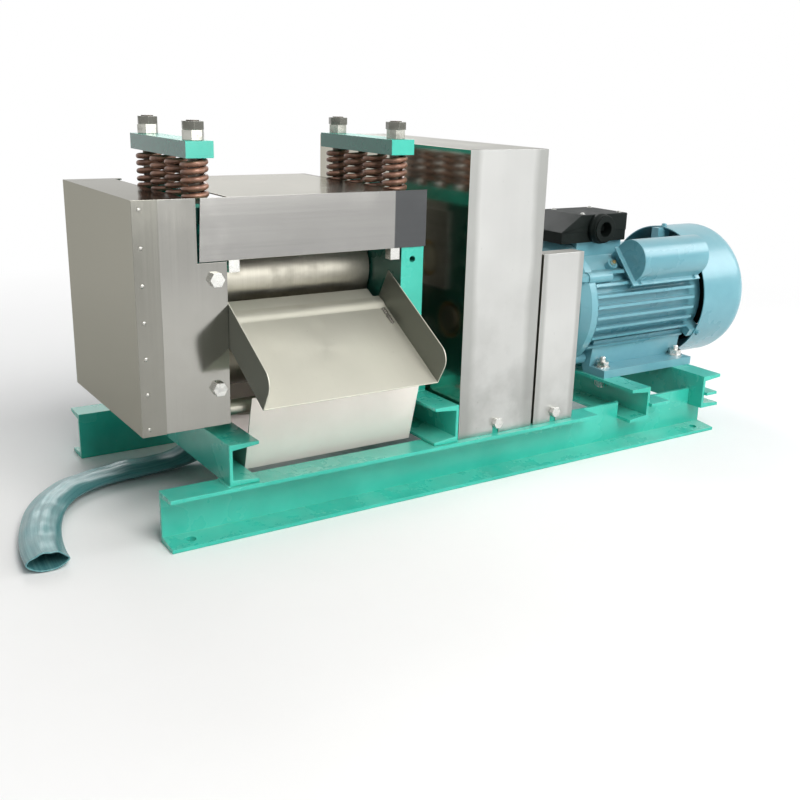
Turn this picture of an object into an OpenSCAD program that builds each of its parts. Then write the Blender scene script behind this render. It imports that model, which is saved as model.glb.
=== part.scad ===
// Electric sugarcane juicer: a three-roller mill on a welded channel base, driven by a foot motor.
// Lengths are in millimetres. X runs along the base towards the motor, Y from the discharge side
// to the feed side, and Z is up from the floor.

/* [Base frame] */
// Length of the two base rails
rail_length = 880; // [840:5:960]
// Height of a base rail
rail_height = 63; // [58:1:70]
// Flange width of a base rail
rail_flange = 36; // [33:1:42]
// Web thickness of a base rail
rail_web = 5; // [4:0.5:7]
// Distance between the backs of the two rails
rail_spacing = 307; // [300:1:316]
// Height of the cross channels and motor channels
cross_height = 50; // [46:1:56]
// Flange width of the cross channels and motor channels
cross_flange = 37; // [34:1:40]
// Web thickness of the cross channels and motor channels
cross_web = 4.5; // [3.5:0.5:6]
// Flange thickness at the tip
flange_tip_t = 4.5; // [3.5:0.5:5.5]
// Flange thickness at the web
flange_root_t = 7.5; // [6:0.5:9]
// Reach of the cross channels past the back of a rail
cross_reach = 31; // [26:1:33]
// Left rail end to the web of the left cross channel
left_cross_x = 72; // [66:1:74]
// Left rail end to the web of the right cross channel
right_cross_x = 389; // [386:1:391]
// Depth to which the motor channels are let into the rails
motor_channel_drop = 25; // [20:1:30]
// Left rail end to the web of the inner motor channel
inner_motor_x = 738; // [732:1:744]
// Left rail end to the web of the outer motor channel
outer_motor_x = 853; // [848:1:856]
// Diameter of the holding-down holes in the rails
base_hole_d = 11; // [9:0.5:13]
// Distance of a holding-down hole from the rail end
base_hole_inset = 28; // [22:1:36]

/* [Mill] */
// Left rail end to the outer face of the left cheek
cheek_x = 57; // [54:1:60]
// Thickness of a cheek
cheek_t = 32; // [28:1:34]
// Distance between the inner faces of the cheeks
cheek_gap = 227; // [220:1:229]
// Depth of a cheek from front to back
cheek_depth = 242; // [236:1:250]
// Height of a cheek above its foot plate
cheek_height = 226; // [222:1:230]
// Thickness of the foot plate under a cheek
foot_plate_t = 14; // [10:1:16]
// Diameter of the three rollers
roller_d = 90; // [84:1:94]
// Gap between the top roller and each bottom roller
roller_gap = 2; // [1:0.1:3]
// Distance between the axes of the two bottom rollers
bottom_spacing = 102; // [101:0.5:108]
// Height of the bottom roller axes
bottom_axis_z = 200; // [196:1:206]
// Distance of the top roller axis behind the rail backs
roller_axis_y = 116.5; // [114:0.5:120]
// Gap between a roller end and a cheek
roller_end_gap = 2.5; // [1.5:0.5:4]
// Diameter of a roller journal
journal_d = 38; // [34:1:42]
// Diameter of the shaft ends that carry gears
shaft_end_d = 34; // [28:1:36]
// Wall of the bronze bushes
bush_wall = 6; // [4:0.5:8]
// Width of a sliding bearing block
block_w = 72; // [66:1:76]
// Travel of the top roller against its springs
float_travel = 4; // [2:0.5:4]

/* [Spring heads] */
// Length of a spring bar
bar_length = 176; // [170:1:190]
// Thickness of the fixed spring bar
bar_t = 18; // [14:1:22]
// Thickness of the pressure bar under the springs
pressure_bar_t = 16; // [12:1:18]
// Length of the pressure bar
pressure_bar_length = 221; // [200:1:230]
// Distance between the two studs of a spring head
stud_spacing = 141; // [138:1:146]
// Diameter of a stud
stud_d = 14; // [12:1:18]
// Length of a spring
spring_length = 49; // [46:1:55]
// Mean diameter of a spring
spring_mean_d = 27; // [25.5:0.5:28]
// Wire diameter of a spring
spring_wire = 6.5; // [5.5:0.25:7]
// Turns of a spring
spring_turns = 3; // [2:0.5:3.5]

/* [Gears] */
// Teeth of each of the three mill gears
mill_teeth = 23; // [21:1:25]
// Face width of a mill gear
mill_face = 32; // [24:1:34]
// Teeth of the motor pinion
pinion_teeth = 15; // [14:1:16]
// Teeth of the countershaft gear
counter_gear_teeth = 87; // [84:1:88]
// Module of the first stage
first_module = 2.5; // [2.4:0.05:2.55]
// Teeth of the countershaft pinion
counter_pinion_teeth = 12; // [12:1:13]
// Teeth of the main gear on the rear roller
main_gear_teeth = 60; // [58:1:61]
// Module of the second stage
second_module = 3.5; // [3.4:0.05:3.55]
// Face width of the first stage
first_face = 26; // [20:1:30]
// Face width of the second stage
second_face = 32; // [26:1:34]
// Thickness of the gear carrier plates
gear_plate_t = 8; // [6:1:9]

/* [Sheet metal] */
// Thickness of the stainless sheet
sheet_t = 1.5; // [1:0.25:2]
// Reach of the left gear cover past the rail ends
gear_cover_reach = 15; // [12:1:20]
// Height of the lower edge of the left gear cover
gear_cover_z = 127; // [122:1:132]
// Rise of the hood and the left gear cover above the cheeks
hood_rise = 28.5; // [26:0.5:29]
// Height of the front panel of the hood
hood_panel_h = 68; // [60:1:74]
// Left face of the drive cover
drive_cover_x = 393; // [392:1:395]
// Width of the drive cover
drive_cover_w = 122; // [120:1:128]
// Reach of the drive cover in front of the rail backs
drive_cover_front = 26; // [24:1:30]
// Depth of the drive cover
drive_cover_depth = 373; // [370:1:380]
// Height of the top of the drive cover
drive_cover_top_z = 429; // [428:1:440]
// Left edge of the coupling guard
guard_x = 519; // [517:1:524]
// Width of the coupling guard
guard_w = 70; // [65:1:75]
// Height of the top of the coupling guard
guard_top_z = 296; // [280:1:320]
// Return flange of the coupling guard
guard_return = 24; // [16:1:30]
// Slope of the discharge chute in degrees
chute_slope = 30.5; // [29:0.5:32]
// Reach of the discharge chute past its nearest point to the front roller
chute_past = 25; // [18:1:28]
// Length of the narrow tongue at the top of the chute floor
tongue_length = 15; // [10:1:24]
// Height of the chute sides
chute_side_h = 43; // [36:1:48]
// Rounding of the lower corner of the chute sides
chute_round = 18; // [12:1:24]
// Reach of the chute lip in front of the rail backs
chute_reach = 84; // [78:1:90]
// Gap between the chute floor and the front roller
scraper_gap = 1.5; // [1:0.25:3]
// Length of the feed chute floor
feed_length = 150; // [130:1:160]
// Slope of the feed chute in degrees
feed_slope = 25; // [22:1:30]
// Height of the tray sides
tray_side_h = 45; // [36:1:48]
// Height of the sloping front of the tray
tray_front_h = 94; // [80:1:96]
// Lean of the tray front in degrees
tray_front_lean = 14.5; // [12:0.5:16]
// Length of the tray from its front lower edge to the back
tray_length = 225; // [200:1:240]

/* [Motor] */
// Left rail end to the middle of the motor feet
motor_mid_x = 800; // [797:1:803]
// Distance of the motor axis behind the rail backs
motor_axis_y = 135; // [132:1:138]
// Height of the motor axis above its feet
motor_shaft_h = 100; // [98:1:102]
// Length of the motor feet
motor_foot_length = 188; // [176:1:196]
// Spacing of the foot holes along the motor
foot_hole_pitch = 158; // [154:1:160]
// Spacing of the foot holes across the motor
foot_hole_span = 160; // [150:1:166]
// Diameter of the motor barrel under the fins
barrel_d = 168; // [164:1:172]
// Height of the fins above the barrel
fin_h = 12; // [9:0.5:13]
// Length of the finned barrel
barrel_length = 205; // [196:1:208]
// Distance between two fins
fin_pitch = 16; // [14:1:18]
// Reach of the fan cowl past the fins
cowl_overhang = 9.5; // [8:0.5:12]
// Length of the fan cowl
cowl_length = 106; // [98:1:114]
// Rounding of the fan cowl
cowl_round = 27; // [18:1:32]
// Diameter of the motor shaft
motor_shaft_d = 28; // [24:1:30]
// Outer diameter of the coupling
coupling_d = 84; // [70:1:90]

/* [Hidden] */
$fn = 48;

green = [0.10, 0.62, 0.52];
steel = [0.62, 0.62, 0.60];
bright = [0.78, 0.78, 0.76];
bronze = [0.66, 0.47, 0.22];
copper = [0.55, 0.33, 0.22];
teal = [0.30, 0.58, 0.64];
dark = [0.10, 0.10, 0.10];
hose_blue = [0.28, 0.52, 0.56];

// Clearances and small sizes that several pieces share
overrun = 2;
running = 0.05;
sliding = 0.1;
fitted = 0.2;
clear = 1;

// Base frame, derived
motor_channel_z = rail_height - motor_channel_drop;
motor_seat_z = motor_channel_z + cross_height;
cross_top_z = rail_height + cross_height;
cross_length = rail_spacing + 2 * cross_reach;
flange_slot_length = 44;
flange_slot_w = 11;
notch_lead = 70;
flange_piece = 38;
bearer_w = 30;
bearer_t = 5;
bearer_front_y = 45;
bearer_rear_y = 150;
bearer_inset = 14;

// Mill, derived
cheek_front_y = 2;
cheek_back_y = cheek_front_y + cheek_depth;
foot_top_z = cross_top_z + foot_plate_t;
cheek_top_z = foot_top_z + cheek_height;
left_inner_x = cheek_x + cheek_t;
right_inner_x = left_inner_x + cheek_gap;
right_outer_x = right_inner_x + cheek_t;
foot_inset = 44;
foot_back_inset = 30;
foot_front_y = cheek_front_y + foot_inset;
foot_back_y = cheek_back_y - foot_back_inset;
axis_distance = roller_d + roller_gap;
top_axis_z = bottom_axis_z + sqrt(pow(axis_distance, 2) - pow(bottom_spacing / 2, 2));
front_axis_y = roller_axis_y - bottom_spacing / 2;
rear_axis_y = roller_axis_y + bottom_spacing / 2;
bush_d = journal_d + 2 * bush_wall;
block_under = 36;
block_bottom_z = top_axis_z - block_under;
block_stand = 2;
block_top_z = cheek_top_z + block_stand;
block_lip = 5;
block_lip_w = 9;
mill_gear_gap = 13;
mill_gear_x = cheek_x - mill_gear_gap - mill_face;
shaft_reach = 9;
gear_end_x = mill_gear_x - shaft_reach;
shaft_stub = 2;
tie_d = 18;
tie_shoulder = 1;
tie_end_d = tie_d - 2 * tie_shoulder;
tie_inset = 12;
tie_back_inset = 19;
tie_rise = 15;
tie_front_y = cheek_front_y + tie_inset;
tie_rear_y = cheek_back_y - tie_back_inset;
tie_z = foot_top_z + tie_rise;

// Spring heads, derived
bar_front_y = roller_axis_y - bar_length / 2;
pressure_front_y = roller_axis_y - pressure_bar_length / 2;
pressure_top_z = block_top_z + pressure_bar_t;
bar_z = pressure_top_z + spring_length;
bar_top_z = bar_z + bar_t;
head_xs = [cheek_x + cheek_t / 2, right_inner_x + cheek_t / 2];
stud_ys = [roller_axis_y - stud_spacing / 2, roller_axis_y + stud_spacing / 2];
springs_per_head = 4;
spring_ys = [for (i = [0:springs_per_head - 1]) stud_ys[0] + i * stud_spacing / (springs_per_head - 1)];
stud_depth = 30;
nut_across = 22;
nut_h = 11;
jam_nut_h = 9;
stud_tip = 1;
guide_d = 14;
guide_h = 12;

// Gears, derived
mill_module = axis_distance / mill_teeth;
first_centres = first_module * (pinion_teeth + counter_gear_teeth) / 2;
second_centres = second_module * (counter_pinion_teeth + main_gear_teeth) / 2;
motor_axis_z = motor_seat_z + motor_shaft_h;
motor_axis = [motor_axis_y, motor_axis_z];
rear_axis = [rear_axis_y, bottom_axis_z];
front_axis = [front_axis_y, bottom_axis_z];
top_axis = [roller_axis_y, top_axis_z];
counter_axis = meeting_point(rear_axis, second_centres, motor_axis, first_centres);
drive_inner_x = drive_cover_x + sheet_t;
left_plate_gap = 2;
main_gear_gap = 6;
stage_gap = 11;
right_plate_gap = 10;
left_plate_x = drive_inner_x + left_plate_gap;
main_gear_x = left_plate_x + gear_plate_t + main_gear_gap;
first_stage_x = main_gear_x + second_face + stage_gap;
right_plate_x = first_stage_x + first_face + right_plate_gap;
counter_d = 28;
counter_bearing_d = 52;
cartridge_d = 60;
cartridge_flange_d = 86;
cartridge_flange_t = 7;
cartridge_hole_gap = 2;
shaft_hole_gap = 4;
wall_hole_gap = 6;
pinion_shaft_d = 25;
mill_thickness_share = 0.36;
stage_thickness_share = 0.44;
addendum_share = 1;
dedendum_share = 1.25;
pressure_angle = 20;

// Motor, derived
fin_d = barrel_d + 2 * fin_h;
cowl_d = fin_d + 2 * cowl_overhang;
barrel_shift = 9;
barrel_x = motor_mid_x - barrel_length / 2 - barrel_shift;
barrel_end_x = barrel_x + barrel_length;
barrel_wall = 14;
cowl_gap = 12;
cowl_x = barrel_end_x + cowl_gap;
cowl_end_x = cowl_x + cowl_length;
bell_length = 48;
bell_x = barrel_x - bell_length;
coupling_half_w = 22;
coupling_disc_t = 9;
coupling_inset = 12;
coupling_disc_inset = 2;
coupling_x = guard_x + coupling_inset;
coupling_disc_x = coupling_x + coupling_half_w;
motor_half_x = coupling_disc_x + coupling_disc_t;
coupling_end_x = motor_half_x + coupling_half_w;
foot_t = 12;
foot_margin = 21;
foot_half_span = foot_hole_span / 2 + foot_margin;
foot_hole_d = 12;
box_setback = 110;
box_x = motor_mid_x - box_setback;
box_length = 90;
box_skirt = 38;
box_front = 45;
box_front_y = motor_axis_y - box_front;
box_depth = 82;
box_seat_z = motor_axis_z + fin_d / 2 + clear;
box_h = 40;
box_skirt_h = 15;
can_d = 62;
can_length = 138;
can_overrun = 3;
can_x = barrel_end_x - can_length + can_overrun;
can_turn = 48.7;
can_stand = 13;
can_axis_r = fin_d / 2 + can_stand;
can_seat_r = fin_d / 2 + clear;
bolt_across = 17;
bolt_head_h = 7;
bolt_d = 10;
small_bolt_d = 8;
small_bolt_across = 13;

// Sheet metal, derived
cover_gap = 2;
slit_w = 5;
slit_taper = 3;
slit_depth = 14;
top_sheet_gap = 9;
top_sheet_hem = 6;
hood_top_z = cheek_top_z + hood_rise;
gear_cover_right_x = cheek_x - cover_gap;
gear_cover_back_y = cheek_back_y + sheet_t;
panel_y = cheek_front_y - sheet_t;
panel_z = hood_top_z - hood_panel_h;
hood_x = gear_cover_right_x + slit_w;
hood_end_x = right_outer_x + cover_gap;
front_plate_end_x = left_inner_x - fitted;
drive_end_x = drive_cover_x + drive_cover_w;
drive_back_y = drive_cover_depth - drive_cover_front;
chute_dir = [cos(chute_slope), sin(chute_slope)];
chute_front_run = front_axis_y + chute_reach;
chute_lip_z = bottom_axis_z - (chute_front_run * chute_dir[1] - roller_d / 2 - scraper_gap) / chute_dir[0];
chute_nearest = chute_front_run * chute_dir[0] + (bottom_axis_z - chute_lip_z) * chute_dir[1];
chute_length = chute_nearest + chute_past - tongue_length;
tongue_inset = 10;
tray_x = left_cross_x + cross_flange + clear;
tray_end_gap = 10;
tray_end_x = right_cross_x - cross_flange - tray_end_gap;
tray_front_y = 13;
tray_back_y = tray_front_y + tray_length;
spout_d = 33;
spout_wall = 1.5;
spout_length = 46;
plate_bolt_rise = 44;
plate_bolt_drop = 19.5;
plate_bolt_zs = [gear_cover_z + plate_bolt_rise, panel_z - plate_bolt_drop];
plate_bolt_inset = 14;
plate_bolt_across = 15;
plate_bolt_x = front_plate_end_x - plate_bolt_inset;
spare_hole_drop = 15;

// The origin lies under the middle of the assembly's box, on the floor
box_min_x = -gear_cover_reach;
box_max_x = cowl_end_x;
chute_corner_y = chute_round * chute_dir[0] - (chute_side_h - chute_round) * chute_dir[1] - chute_round;
box_min_y = chute_corner_y - chute_reach;
box_max_y = max(drive_back_y, rail_spacing + rail_flange);
origin_x = (box_min_x + box_max_x) / 2;
origin_y = (box_min_y + box_max_y) / 2;

// Juice hose: points of its middle line in the finished frame, from the spout to the open end
hose_route = [[-338, 88, 37], [-352, 88, 29], [-367, 88, 23], [-383, 88, 18], [-401, 87, 14.5],
    [-420, 86, 12.5], [-440, 85, 11.5], [-460, 84, 11], [-480, 82, 11], [-500, 78, 11], [-519, 72, 11],
    [-537, 64, 11], [-553, 53, 11], [-567, 40, 11], [-579, 25, 11], [-589, 9, 11], [-597, -8, 11],
    [-604, -26, 11], [-610, -44, 11], [-615, -62, 11], [-619, -80, 11], [-622, -98, 11],
    [-624, -116, 11], [-625, -134, 11]];
hose_d = 35;
hose_flat_w = 46;
hose_flat_t = 21;
hose_flat_steps = 5;
hose_sides = 12;

// Where two circles about a and b meet, on the upper side
function meeting_point(a, ra, b, rb) =
    let (d = norm(b - a), u = (b - a) / d, m = (ra * ra - rb * rb + d * d) / (2 * d),
        h = sqrt(ra * ra - m * m), side = u[0] < 0 ? 1 : -1)
    a + m * u + side * h * [u[1], -u[0]];

function angle_to(a, b) = atan2(b[1] - a[1], b[0] - a[0]);

// Turn of a gear that meshes with one turned by turn_a, seen along the line of centres
function mesh_turn(turn_a, teeth_a, teeth_b, line) =
    line + 180 + (180 - (turn_a - line) * teeth_a) / teeth_b;

function involute(angle) = tan(angle) * 180 / PI - angle;

// Half the angle that a tooth covers at a radius
function tooth_half(r, pitch_r, share, teeth) =
    let (base_r = pitch_r * cos(pressure_angle), at = max(r, base_r))
    180 / teeth * share + involute(pressure_angle) - involute(acos(min(1, base_r / at)));

function polar(r, a) = [r * cos(a), r * sin(a)];

module place() translate([-origin_x, -origin_y, 0]) children();

// A flat outline drawn in Y and Z, drawn out along X
module along_x(x, length)
    translate([x, 0, 0]) rotate([90, 0, 90]) linear_extrude(height = length) children();

// A flat outline drawn in X and Z, drawn out along Y
module along_y(y, length)
    translate([0, y + length, 0]) rotate([90, 0, 0]) linear_extrude(height = length) children();

module box_between(low, high) translate(low) cube(high - low);

module rod_x(x, end_x, axis, d)
    translate([x, axis[0], axis[1]]) rotate([0, 90, 0]) cylinder(h = end_x - x, d = d);

module rod_y(y, end_y, x, z, d) translate([x, y, z]) rotate([-90, 0, 0]) cylinder(h = end_y - y, d = d);

module rod_z(z, end_z, x, y, d) translate([x, y, z]) cylinder(h = end_z - z, d = d);

module hex_z(z, h, x, y, across) translate([x, y, z]) cylinder(h = h, d = across / cos(30), $fn = 6);

// Cross-section of a rolled channel: web on the second axis, flanges towards +first axis
module channel_outline(height, flange, web)
    polygon([[0, 0], [flange, 0], [flange, flange_tip_t], [web, flange_root_t],
        [web, height - flange_root_t], [flange, height - flange_tip_t], [flange, height], [0, height]]);

// Outline of a spur gear, turned so that a tooth points along turn
module gear_outline(teeth, modul, share, turn) {
    pitch_r = teeth * modul / 2;
    root_r = pitch_r - dedendum_share * modul;
    tip_r = pitch_r + addendum_share * modul;
    half_tooth = addendum_share * modul / 2;
    radii = [root_r, pitch_r - half_tooth, pitch_r, pitch_r + half_tooth, tip_r];
    last = len(radii) - 1;
    polygon([for (i = [0:teeth - 1], s = [0:2 * last + 1])
        let (k = s <= last ? s : 2 * last + 1 - s, half = tooth_half(radii[k], pitch_r, share, teeth))
        polar(radii[k], turn + i * 360 / teeth + (s <= last ? -half : half))]);
}

module gear_x(x, face, axis, teeth, modul, share, turn, bore)
    difference() {
        along_x(x, face) translate(axis) gear_outline(teeth, modul, share, turn);
        rod_x(x - overrun, x + face + overrun, axis, bore);
    }

// Base rails: the top flange is cut away round the motor channels, and the webs are slotted for them
module rail_shape() {
    inner_tip_x = inner_motor_x - cross_flange;
    notch_z = rail_height - flange_root_t - fitted;
    difference() {
        mirror([0, 1, 0]) along_x(0, rail_length) channel_outline(rail_height, rail_flange, rail_web);
        box_between([inner_tip_x - notch_lead, -rail_flange - overrun, notch_z],
            [inner_motor_x + fitted, -rail_web, rail_height + overrun]);
        box_between([inner_tip_x - fitted, -rail_flange - overrun, motor_channel_z],
            [inner_motor_x + fitted, overrun, rail_height + overrun]);
        box_between([inner_motor_x + flange_piece, -rail_flange - overrun, notch_z],
            [outer_motor_x + cross_web + fitted, -rail_web, rail_height + overrun]);
        box_between([outer_motor_x - fitted, -rail_flange - overrun, motor_channel_z],
            [outer_motor_x + cross_web + fitted, overrun, rail_height + overrun]);
        for (x = [base_hole_inset, rail_length - base_hole_inset])
            rod_z(-overrun, flange_root_t + overrun, x, -rail_flange / 2 - rail_web / 2, base_hole_d);
    }
}

// The front rail carries two tabs that the drive cover and the coupling guard are bolted to
cover_tab_w = 24;
cover_tab_h = 28;
cover_tab_t = 4;
cover_slot_w = 10;
module cover_tab(x) {
    low = [x - cover_tab_w / 2, sheet_t - drive_cover_front, rail_height - clear];
    difference() {
        box_between(low, low + [cover_tab_w, cover_tab_t, cover_tab_h]);
        rod_y(low[1] - overrun, low[1] + cover_tab_t + overrun, x, guard_bolt_z,
            small_bolt_d + 2 * running);
    }
}

module front_rail()
    color(green) place() {
        rail_shape();
        for (x = cover_bolt_xs) cover_tab(x);
    }

module rear_rail() color(green) place() translate([0, rail_spacing, 0]) mirror([0, 1, 0]) rail_shape();

module cross_channel(x, side, z)
    translate([x, 0, z]) mirror([side < 0 ? 1 : 0, 0, 0])
        along_y(-cross_reach, cross_length) channel_outline(cross_height, cross_flange, cross_web);

module left_cross_channel() color(green) place() cross_channel(left_cross_x, 1, rail_height);

module right_cross_channel() color(green) place() cross_channel(right_cross_x, -1, rail_height);

// Slots in a motor channel's top flange for the foot bolts
module motor_slots(x)
    for (y = [motor_axis_y - foot_hole_span / 2, motor_axis_y + foot_hole_span / 2]) {
        for (end = [-1, 1])
            rod_z(motor_seat_z - flange_root_t - overrun, motor_seat_z + overrun, x,
                y + end * (flange_slot_length - flange_slot_w) / 2, flange_slot_w);
        box_between([x - flange_slot_w / 2, y - (flange_slot_length - flange_slot_w) / 2,
                motor_seat_z - flange_root_t - overrun],
            [x + flange_slot_w / 2, y + (flange_slot_length - flange_slot_w) / 2, motor_seat_z + overrun]);
    }

module inner_motor_channel()
    color(green) place() difference() {
        cross_channel(inner_motor_x, -1, motor_channel_z);
        motor_slots(motor_mid_x - foot_hole_pitch / 2);
    }

// The outer channel's lower flange is slit where the rail webs stand
module outer_motor_channel()
    color(green) place() difference() {
        cross_channel(outer_motor_x, 1, motor_channel_z);
        motor_slots(motor_mid_x + foot_hole_pitch / 2);
        for (y = [-rail_web, rail_spacing])
            box_between([outer_motor_x + cross_web + fitted, y - fitted, motor_channel_z - overrun],
                [outer_motor_x + cross_flange + overrun, y + rail_web + fitted,
                    motor_channel_z + flange_root_t + overrun]);
    }

module tray_bearers()
    color(green) place() for (y = [bearer_front_y, bearer_rear_y])
        box_between([left_cross_x + bearer_inset, y, rail_height - bearer_t],
            [right_cross_x - bearer_inset, y + bearer_w, rail_height]);

// A cheek has a slot from above for the bearing block and two bores for the bottom bushes
module cheek(x) {
    slot_half = block_w / 2 + sliding;
    difference() {
        box_between([x, cheek_front_y, foot_top_z], [x + cheek_t, cheek_back_y, cheek_top_z]);
        box_between([x - overrun, roller_axis_y - slot_half, block_bottom_z],
            [x + cheek_t + overrun, roller_axis_y + slot_half, cheek_top_z + overrun]);
        for (axis = [front_axis, rear_axis])
            rod_x(x - overrun, x + cheek_t + overrun, axis, bush_d + 2 * running);
        for (y = [tie_front_y, tie_rear_y])
            rod_x(x - overrun, x + cheek_t + overrun, [y, tie_z], tie_end_d + 2 * running);
        for (y = stud_ys)
            rod_z(cheek_top_z - stud_depth, cheek_top_z + overrun, x + cheek_t / 2, y,
                stud_d + 2 * running);
    }
}

// The left cheek is cut back behind the slit beside the hood
module left_cheek()
    color(green) place() difference() {
        cheek(cheek_x);
        for (z = plate_bolt_zs)
            rod_y(cheek_front_y - overrun, cheek_front_y + stud_depth, plate_bolt_x,
                z, bolt_d + 2 * running);
        box_between([cheek_x - overrun, cheek_front_y - overrun, panel_z],
            [hood_x, cheek_front_y + slit_depth, cheek_top_z + overrun]);
    }

// The right cheek keeps an open tapped hole in its front face
module right_cheek()
    color(green) place() difference() {
        cheek(right_inner_x);
        rod_y(cheek_front_y - overrun, cheek_front_y + stud_depth, right_inner_x + cheek_t / 2,
            panel_z - spare_hole_drop, small_bolt_d);
    }

module foot_plate(x, end_x) box_between([x, foot_front_y, cross_top_z], [end_x, foot_back_y, foot_top_z]);

module left_foot_plate() color(green) place() foot_plate(cheek_x, left_cross_x + cross_flange);

module right_foot_plate() color(green) place() foot_plate(right_inner_x, right_cross_x);

// Tie bars with shouldered ends that seat in the cheeks
module tie_bars()
    color(steel) place() for (y = [tie_front_y, tie_rear_y]) {
        rod_x(left_inner_x, right_inner_x, [y, tie_z], tie_d);
        rod_x(cheek_x, right_outer_x, [y, tie_z], tie_end_d);
    }

module spring_bar(x)
    difference() {
        box_between([x, bar_front_y, bar_z], [x + cheek_t, bar_front_y + bar_length, bar_top_z]);
        for (y = stud_ys) rod_z(bar_z - overrun, bar_top_z + overrun, x + cheek_t / 2, y, stud_d + clear);
    }

module left_spring_bar() color(green) place() spring_bar(cheek_x);

module right_spring_bar() color(green) place() spring_bar(right_inner_x);

module spring_studs()
    color(bright) place() for (x = head_xs, y = stud_ys)
        rod_z(cheek_top_z - stud_depth, bar_top_z + nut_h + jam_nut_h + stud_tip, x, y, stud_d);

// A nut and a jam nut on every stud
module stud_nuts()
    color(bright) place() for (x = head_xs, y = stud_ys) difference() {
        union() {
            hex_z(bar_top_z, nut_h, x, y, nut_across);
            translate([x, y, 0]) rotate([0, 0, 30 / 2]) translate([-x, -y, 0])
                hex_z(bar_top_z + nut_h, jam_nut_h, x, y, nut_across);
        }
        rod_z(bar_top_z - overrun, bar_top_z + nut_h + jam_nut_h + overrun, x, y, stud_d + 2 * running);
    }

// Middle line of a spring: a straight leg, an eased start, even turns, an eased end and a leg
rings_per_turn = 8;
spring_ease_share = 0.25;
spring_ease_h = 4;
spring_end_h = spring_wire + spring_ease_h;
spring_coil_h = spring_length - 2 * spring_end_h;
spring_steps = spring_turns * rings_per_turn;
spring_ease_turn = 360 * spring_ease_share;
spring_full_turn = 2 * spring_ease_turn + spring_turns * 360;
function on_spring(angle, z) = [spring_mean_d / 2 * cos(angle), spring_mean_d / 2 * sin(angle), z];
spring_line = concat([on_spring(0, 0)],
    [for (i = [0:2]) on_spring(spring_ease_turn * pow(i / 3, 2), spring_wire + spring_ease_h * i / 3)],
    [for (i = [0:spring_steps]) on_spring(spring_ease_turn + i * 360 / rings_per_turn,
        spring_end_h + spring_coil_h * i / spring_steps)],
    [for (i = [2:-1:0]) on_spring(spring_full_turn - spring_ease_turn * pow(i / 3, 2),
        spring_length - spring_wire - spring_ease_h * i / 3)],
    [on_spring(spring_full_turn, spring_length)]);
spring_gaps = [for (i = [0:len(spring_line) - 1], j = [i + rings_per_turn / 2 + 1:1:len(spring_line) - 1])
    norm(spring_line[i] - spring_line[j]) - spring_wire];
echo(spring_least_gap = min(spring_gaps));

function unit(v) = v / norm(v);
function line_direction(line, i) = let (last = len(line) - 1)
    i == 0 ? unit(line[1] - line[0]) : i == last ? unit(line[last] - line[last - 1])
        : unit(unit(line[i] - line[i - 1]) + unit(line[i + 1] - line[i]));

// A closed tube of rings, each ring a list of points, all of the same count
module tube(rings) {
    sides = len(rings[0]);
    last = len(rings) - 1;
    points = concat([for (ring = rings) each ring]);
    walls = [for (i = [0:last - 1], k = [0:sides - 1])
        let (a = i * sides + k, b = i * sides + (k + 1) % sides)
        each [[a, b + sides, b], [a, a + sides, b + sides]]];
    start = [for (k = [1:sides - 2]) [0, k, k + 1]];
    end = [for (k = [1:sides - 2]) [last * sides, last * sides + k + 1, last * sides + k]];
    polyhedron(points = points, faces = concat(walls, start, end), convexity = 10);
}

// Ring of a spring wire: one side lies towards the spring's axis, the other along its length
spring_sides = 6;
function spring_ring(i) =
    let (p = spring_line[i], d = line_direction(spring_line, i), out = unit([p[0], p[1], 0]),
        a = unit(out - (out * d) * d), b = cross(d, a))
    [for (k = [0:spring_sides - 1]) p + spring_wire / 2 * (cos(k * 360 / spring_sides) * a
        - sin(k * 360 / spring_sides) * b)];

module springs(x)
    for (y = spring_ys) translate([x, y, pressure_top_z])
        tube([for (i = [0:len(spring_line) - 1]) spring_ring(i)]);

module left_springs() color(copper) place() springs(head_xs[0]);

module right_springs() color(copper) place() springs(head_xs[1]);

// The pressure bar rides on the bearing block; pins on it keep the two middle springs in line
module pressure_bar(x) {
    difference() {
        box_between([x, pressure_front_y, block_top_z],
            [x + cheek_t, pressure_front_y + pressure_bar_length, pressure_top_z]);
        for (y = stud_ys)
            rod_z(block_top_z - overrun, pressure_top_z + overrun, x + cheek_t / 2, y, stud_d + 2 * clear);
    }
    for (i = [1:springs_per_head - 2])
        rod_z(pressure_top_z, pressure_top_z + guide_h, x + cheek_t / 2, spring_ys[i], guide_d);
}

module left_pressure_bar() color(green) place() pressure_bar(cheek_x);

module right_pressure_bar() color(green) place() pressure_bar(right_inner_x);

// A bearing block slides in the cheek's slot; a lip outside the cheek keeps it in place
module bearing_block(x, side) {
    lip_x = side < 0 ? x - block_lip - sliding : x + cheek_t + sliding;
    lip_top_z = cheek_top_z - block_lip_w;
    difference() {
        union() {
            box_between([x, roller_axis_y - block_w / 2, block_bottom_z],
                [x + cheek_t, roller_axis_y + block_w / 2, block_top_z]);
            box_between([side < 0 ? lip_x : x, roller_axis_y - block_w / 2, block_bottom_z],
                [side < 0 ? x + cheek_t : lip_x + block_lip, roller_axis_y + block_w / 2, lip_top_z]);
            box_between([lip_x, roller_axis_y - block_w / 2 - block_lip_w, block_bottom_z],
                [lip_x + block_lip, roller_axis_y + block_w / 2 + block_lip_w, lip_top_z]);
        }
        rod_x(x - block_lip - overrun, x + cheek_t + block_lip + overrun, top_axis, bush_d + 2 * running);
    }
}

module left_bearing_block() color(steel) place() bearing_block(cheek_x, -1);

module right_bearing_block() color(steel) place() bearing_block(right_inner_x, 1);

module bush(x, axis)
    difference() {
        rod_x(x, x + cheek_t, axis, bush_d);
        rod_x(x - overrun, x + cheek_t + overrun, axis, journal_d + 2 * running);
    }

module top_bushes() color(bronze) place() for (x = [cheek_x, right_inner_x]) bush(x, top_axis);

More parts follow.
